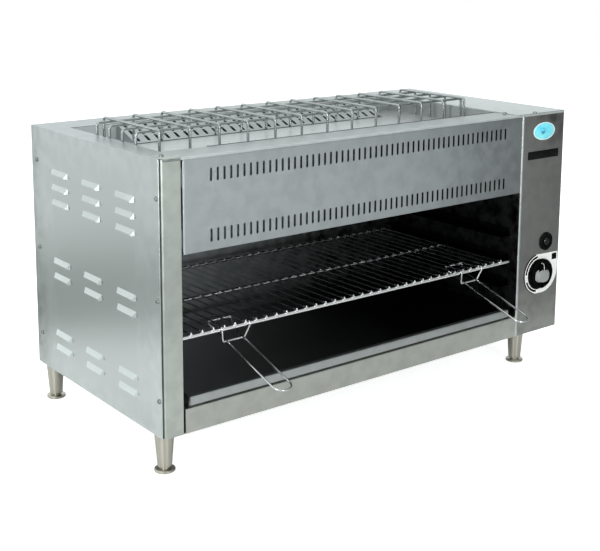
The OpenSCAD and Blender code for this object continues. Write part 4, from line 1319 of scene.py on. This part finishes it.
@dataclass
class EdgeRolls:
    """Rolled edges, coloured lighter than the front sheets they edge, which paints a highlight
    along them: along the top of the post, the hood and the control panel, and down the control panel's left
    side."""

    out: float = 1.1
    drop: float = 3.6

    def build(self) -> None:
        """Builds the rolls of the top edge and of the panel's left edge."""
        top = CABINET.height
        roll = [(3.0, top + 0.15), (0.2, top + 0.15), (-0.5, top - 0.4), (-0.9, top - 1.4),
                (-self.out, top - 2.8), (-self.out, top - self.drop + 0.3), (-0.6, top - self.drop),
                (0.4, top - self.drop)]
        panel_low, _ = CABINET.box("control_panel")
        hood_low, hood_high = CABINET.box("top_hood")
        post_low, post_high = CABINET.box("left_front_post")
        spans = {"post_top_roll": (post_low.x + 3.2, post_high.x - 0.8),
                 "hood_top_roll": (hood_low.x + 3.0, min(hood_high.x, panel_low.x) - 0.6),
                 "panel_top_roll": (panel_low.x + 3.5, CABINET.width - 0.4)}
        # Each top roll takes a colour lighter than the front sheet below it: a painted highlight.
        for name, (start, end) in spans.items():
            mesh = bmesh.new()
            prism(mesh, roll, start, end, lambda a, b, d: CABINET.at(d, a, b))
            piece(name, mesh, "cabinet", "top_steel", "roll_painted_highlight", sharp=40)
        # The panel's left roll is much lighter than the panel: a painted highlight.
        x = panel_low.x
        bow = ((-2.8, 0.4), (-2.6, -0.5), (-1.2, -1.3), (1.4, -1.3), (2.4, -0.7), (2.8, 0.4))
        side = [(x + a, b) for a, b in bow]
        mesh = bmesh.new()
        prism(mesh, side, panel_low.z + 0.5, top - 0.4, lambda a, b, d: CABINET.at(a, b, d))
        piece("panel_side_roll", mesh, "cabinet", "panel_steel", "side_roll_painted_highlight", sharp=40)


@dataclass
class HoodLinings:
    """A dark line of painted shade laid along the joint at the well's front rim and
    under the vent cover's foot, and the baffle strips that close the hood's slots from behind."""

    shade_line_w: float = 1.3
    strip_y: float = 5.0
    strip_t: float = 0.8
    strip_half: float = 14.0
    strip_end: float = 14.0
    guard_wire_r: float = 2.25
    rim_ahead: float = 56.0

    def build(self) -> None:
        """Builds the painted shade lines and the strips."""
        cover_low, cover_high = CABINET.box("vent_cover")
        _, well_high = CABINET.box("vent_well")
        guard_low, _ = CABINET.box("guard_cross_wires")
        rim_y = guard_low.y + self.guard_wire_r - self.rim_ahead
        rim_z = CABINET.height + 0.1
        # Dark wires along the rim joint and the cover's foot: painted shade in the joints.
        shade_lines = bmesh.new()
        rim = [CABINET.at(cover_low.x - 4, rim_y + 3, rim_z), CABINET.at(cover_low.x, rim_y - 0.5, rim_z),
               CABINET.at(well_high.x - 8, rim_y - 0.5, rim_z)]
        foot = [CABINET.at(x, cover_low.y - 0.5, cover_low.z + 0.8) for x in (cover_low.x, cover_high.x)]
        for path in (rim, foot):
            bent_wire(shade_lines, path, self.shade_line_w / 2 * MM, Vector((0, 0, 1)), sides=8)
        piece("well_joint_shade_lines", shade_lines, "cabinet", "top_steel", "joint_painted_shade", sharp=60)
        hood_low, hood_high = CABINET.box("top_hood")
        left, right = hood_low.x + self.strip_end, hood_high.x - self.strip_end
        back = self.strip_y + self.strip_t
        strips = bmesh.new()
        for z in (CABINET.height - 30.8, hood_low.z + 23.0):
            outline = rectangle(left, right, z - self.strip_half, z + self.strip_half)
            prism(strips, outline, self.strip_y, back, lambda a, b, d: CABINET.at(a, d, b))
        piece("hood_baffles", strips, "cabinet", "cavity_steel", "baffle_grey", sharp=30)


@dataclass
class PanelScrews:
    """Pan-head screws with a cross recess, on the sides, the back and the top."""

    head_r: float = 4.0
    head_t: float = 2.2
    recess: float = 1.1
    spoke_share: float = 0.6
    spoke_w: float = 0.86
    panel_w: float = 115.5
    sheet_t: float = 1.2
    low_share: float = 0.135
    first_spin: float = 0.35
    next_spin: float = 0.61

    def spots(self) -> list[tuple[Vector, Facing]]:
        """Lists each screw's seat.

        Returns:
            The seats in cabinet millimetres, each with the side it faces.
        """
        width, depth, height = CABINET.width, CABINET.depth, CABINET.height
        opening = width - self.panel_w
        spots = []
        for y in (12.0, depth - 18):
            for z in (self.low_share * height, height / 2, height - 59):
                spots += [(Vector((0, y, z)), Facing.LEFT), (Vector((width, y, z)), Facing.RIGHT)]
        for x in (100.0, width / 2, opening - 84):
            spots += [(Vector((x, depth, z)), Facing.BACK) for z in (10.0, height - 14)]
        for x, y in ((opening - 16.5, 33.5), (opening + 36, 5.2), (18.0, 25.0)):
            spots.append((Vector((x, y, height + self.sheet_t)), Facing.TOP))
        return spots

    def head(self, mesh: bmesh.types.BMesh, seat: Vector, facing: Facing, spin: float) -> None:
        """Adds one screw head.

        Args:
            mesh: The mesh to add to.
            seat: Where it sits, in cabinet millimetres.
            facing: The side it faces.
            spin: How far it is turned, in radians.
        """
        out = Vector(facing.value)
        across = out.orthogonal().normalized()
        other = out.cross(across)

        def place(a: float, b: float, up: float) -> Vector:
            """Places a point of the head."""
            p = seat + across * a + other * b + out * up
            return CABINET.at(p.x, p.y, p.z)

        rows = ((1.0, 0.0), (1.0, 0.35), (0.94, 0.65), (0.8, 0.88), (0.6, 0.98), (0.42, 1.0), (0.22, 1.0))
        rings = []
        for share, lift in rows:
            ring, r = [], self.head_r * share
            for t in circle(32):
                sunk = share <= self.spoke_share and abs(math.cos(2 * (t - spin))) > self.spoke_w
                up = self.head_t * lift - (self.recess if sunk else 0.0)
                ring.append(mesh.verts.new(place(r * math.cos(t), r * math.sin(t), up)))
            rings.append(ring)
        bridge(mesh, rings)
        mesh.faces.new(rings[-1])
        mesh.faces.new(rings[0])

    def build(self) -> None:
        """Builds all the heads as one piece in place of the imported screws."""
        heads = bmesh.new()
        for number, (seat, facing) in enumerate(self.spots()):
            self.head(heads, seat, facing, self.first_spin + number * self.next_spin)
        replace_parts(piece("panel_screw_heads", heads, "cabinet", "fasteners", sharp=30), "panel_screws")


@dataclass
class WireWelds:
    """Weld beads where the shelf's and the guard's wires cross, and bright sleeves over
    the shelf wires' front ends, a painted highlight."""

    tip_l: float = 10.0
    shelf_wires: int = 35
    shelf_wire_r: float = 1.5
    guard_wires: int = 13
    guard_rows: int = 4
    guard_wire_r: float = 2.25

    def shelf(self) -> None:
        """Builds the shelf's beads and the painted highlight sleeves over its wires' front ends."""
        low, high = CABINET.box("shelf_wires")
        rod_low, rod_high = CABINET.box("shelf_rods")
        radius = self.shelf_wire_r
        pitch = (high.x - low.x - 2 * radius) / (self.shelf_wires - 1)
        first, last = rod_low.y + 3, rod_high.y - 3
        welds, highlight_sleeves = bmesh.new(), bmesh.new()
        for x in (low.x + radius + i * pitch for i in range(self.shelf_wires)):
            for y in (first, (first + last) / 2 - 3, last):
                bead(welds, CABINET.at(x, y, rod_high.z - 0.1), Vector((1.9, 2.4, 0.9)) * MM)
            # A bright sleeve and bead over each wire's front end: a painted highlight.
            path = [CABINET.at(x, y, high.z - radius) for y in (low.y + 0.2, low.y + self.tip_l)]
            bent_wire(highlight_sleeves, path, (radius + 0.2) * MM, Vector((1, 0, 0)), sides=12)
            bead(highlight_sleeves, CABINET.at(x, low.y + 1.8, high.z - 0.5), Vector((1.9, 1.6, 2.4)) * MM)
        piece("shelf_welds", welds, "shelf", "chrome_wire")
        piece("shelf_wire_tip_highlights", highlight_sleeves, "shelf", "chrome_wire", "tip_painted_highlight")

    def guard(self) -> None:
        """Builds the guard's beads."""
        low, high = CABINET.box("guard_cross_wires")
        long_low, long_high = CABINET.box("guard_long_wires")
        wire = 2 * self.guard_wire_r
        step = (high.x - low.x - wire) / (self.guard_wires - 1)
        row_step = (long_high.y - long_low.y - wire) / (self.guard_rows - 1)
        welds = bmesh.new()
        for i in range(self.guard_wires):
            for k in range(self.guard_rows):
                spot = CABINET.at(low.x + self.guard_wire_r + i * step,
                                  long_low.y + self.guard_wire_r + k * row_step, high.z - wire - 0.1)
                bead(welds, spot, Vector((2.7, 2.7, 1.2)) * MM)
        piece("guard_welds", welds, "top_guard", "guard_wire")

    def build(self) -> None:
        """Builds the beads of the shelf and of the guard."""
        self.shelf()
        self.guard()


# ---------------------------------------------------------------- studio


@dataclass(frozen=True)
class SoftBox:
    """A rectangular lamp: its place and aim in frame metres, its width and height in
    metres and its power in watts."""

    name: str
    place: Point
    aim: Point
    size: Flat
    power: float


LAMPS = (
    SoftBox("key_left", (-2.6, -1.3, 0.95), (0, 0, 0.25), (0.9, 1.9), 30),
    SoftBox("strip_front", (-0.3, -3.2, 0.95), (-0.2, 0, 0.2), (0.3, 1.6), 28),
    SoftBox("top_box", (-0.4, 0.2, 3.2), (0, 0, 0.2), (4.0, 3.4), 31),
)


@dataclass
class Studio:
    """Camera, lamps, world and floor."""

    azimuth: float = 37.908
    elevation: float = 9.866
    roll: float = 0.274
    stand: Point = (-831.84, -1398.52, 726.10)
    focal_px: float = 1138.468
    centre_v: float = 150.0
    wall_side: Point = (-0.3, 0.94, 0.15)
    wall_light: float = 1.07
    room_light: float = 0.62
    room_tint: Colour = (0.95, 1.0, 0.995)
    window_side: Point = (-0.53, 0.81, 0.26)
    window_light: float = 1.5
    window_head: Flat = (0.02, 0.24)
    dark_side: Point = (0.95, -0.3, 0.05)
    dark_share: float = 0.8
    floor_lift: float = 0.75
    floor_half: float = 6.0

    def camera(self) -> None:
        """Sets up the camera."""
        data = bpy.data.cameras.new("camera")
        camera = link("camera", data)
        az, el, roll = (math.radians(v) for v in (self.azimuth, self.elevation, self.roll))
        ahead = Vector((math.sin(az) * math.cos(el), math.cos(az) * math.cos(el), -math.sin(el)))
        right = ahead.cross(Vector((0, 0, 1))).normalized()
        up = right.cross(ahead)
        across = math.cos(roll) * right + math.sin(roll) * up
        upward = -math.sin(roll) * right + math.cos(roll) * up
        turn = Matrix((across, upward, -ahead)).transposed().to_4x4()
        camera.matrix_world = Matrix.Translation(CABINET.at(*self.stand)) @ turn
        data.sensor_fit = "HORIZONTAL"
        data.sensor_width = 36.0
        data.lens = self.focal_px * data.sensor_width / IMAGE_W
        data.shift_y = (self.centre_v - IMAGE_H / 2) / IMAGE_W
        data.clip_start, data.clip_end = 0.05, 60.0
        bpy.context.scene.camera = camera

    def world(self) -> None:
        """Makes a studio with a bright wall behind the object and a dark corner at the
        front right, plain white to the camera."""
        world = bpy.data.worlds.new("studio")
        bpy.context.scene.world = world
        world.use_nodes = True
        world.node_tree.nodes.clear()
        kit = NodeKit(world.node_tree)
        facing = kit.add("TexCoord").outputs["Generated"]

        def towards(direction: Point, low: float, high: float) -> Socket:
            """Rises from 0 to 1 as the view nears a direction."""
            return kit.ramp(kit.vector("DOT_PRODUCT", facing, direction).outputs["Value"], low, high)

        wall = kit.times(towards(self.wall_side, 0.1, 0.85), self.wall_light - self.room_light)
        height = kit.add("SeparateXYZ", {0: facing}).outputs[2]
        pane = kit.minus(1.0, kit.ramp(height, *self.window_head))
        window = kit.times(kit.times(towards(self.window_side, 0.8, 0.96), self.window_light), pane)
        level = kit.plus(kit.plus(wall, self.room_light), window)
        dark = kit.times(towards(self.dark_side, 0.68, 0.97), self.dark_share)
        level = kit.times(level, kit.minus(1.0, dark))
        path = kit.add("LightPath")
        plain = kit.math("MAXIMUM", path.outputs["Is Camera Ray"], path.outputs["Is Transmission Ray"])
        soft = kit.add("Background", {"Color": tint(self.room_tint), "Strength": level})
        white = kit.add("Background", {"Color": (1.0, 1.0, 1.0, 1.0), "Strength": 1.0})
        mixed = kit.add("MixShader", {0: plain, 1: soft.outputs[0], 2: white.outputs[0]})
        kit.add("OutputWorld", {"Surface": mixed.outputs[0]})

    def lamp(self, box: SoftBox) -> None:
        """Adds a soft box.

        Args:
            box: Its place, aim, size and power.
        """
        data = bpy.data.lights.new(box.name, "AREA")
        data.shape, data.size, data.size_y = "RECTANGLE", *box.size
        data.energy = box.power
        lamp = link(box.name, data)
        place = Vector(box.place)
        turn = (Vector(box.aim) - place).to_track_quat("-Z", "Y").to_matrix().to_4x4()
        lamp.matrix_world = Matrix.Translation(place) @ turn

    def floor(self) -> None:
        """Lays the pale floor that the feet stand on."""
        low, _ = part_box("foot_front_left")
        mesh = bmesh.new()
        half = self.floor_half
        mesh.faces.new([mesh.verts.new((x, y, low.z)) for x, y in rectangle(-half, half, -half, half)])
        floor = link("floor", mesh_data("floor", mesh))
        material, kit, shader = start_material("floor_white")
        place = kit.place()
        near = kit.vector("MULTIPLY", place, (1.0, 1.4, 1.0)).outputs[0]
        reach = kit.vector("LENGTH", near).outputs["Value"]
        parts = kit.add("SeparateXYZ", {0: place}).outputs
        bright = kit.mix(kit.noise(place, 40.0), tint((0.86, 0.86, 0.85)), tint((0.9, 0.9, 0.89)))
        base = kit.mix(kit.ramp(reach, 0.85, 1.15), bright, tint((0.4, 0.41, 0.4)))
        base = kit.mix(kit.ramp(reach, 1.5, 2.4), base, bright)
        side = kit.plus(parts[0], kit.times(parts[1], 1.1))
        ahead = kit.minus(1.0, kit.ramp(parts[1], -0.5, -0.3))
        base = kit.mix(kit.times(kit.ramp(side, -0.3, 0.2), ahead), base, tint((0.22, 0.22, 0.22)))
        seen = kit.add("LightPath").outputs["Is Camera Ray"]
        kit.feed(shader, {"Base Color": kit.mix(seen, base, bright), "Roughness": 0.9})
        strength = kit.times(seen, self.floor_lift)
        lift = kit.add("Emission", {"Color": tint((1.0, 1.0, 1.0)), "Strength": strength})
        both = kit.add("AddShader", {0: shader.outputs[0], 1: lift.outputs[0]})
        out = next(node for node in material.node_tree.nodes if node.type == "OUTPUT_MATERIAL")
        kit.feed(out, {"Surface": both.outputs[0]})
        floor.data.materials.append(material)

    def build(self) -> None:
        """Builds the studio."""
        scene = bpy.context.scene
        scene.view_settings.view_transform = "Standard"
        self.camera()
        self.world()
        for lamp in LAMPS:
            self.lamp(lamp)
        self.floor()
        LOG.info("studio ready")


def main() -> None:
    """Builds every sub-assembly in order."""
    logging.basicConfig(level=logging.INFO, format="%(name)s %(message)s")
    Studio().build()
    dress_nodes(frame["nodes"], frame["record"])
    for part in (LiftingHandle("left"), LiftingHandle("right"), ControlKnob(), KnobBezel(), PilotLamp(),
                 FrontPlates(), EdgeRolls(), HoodLinings(), PanelScrews(), WireWelds()):
        part.build()


if __name__ == "__main__":
    main()
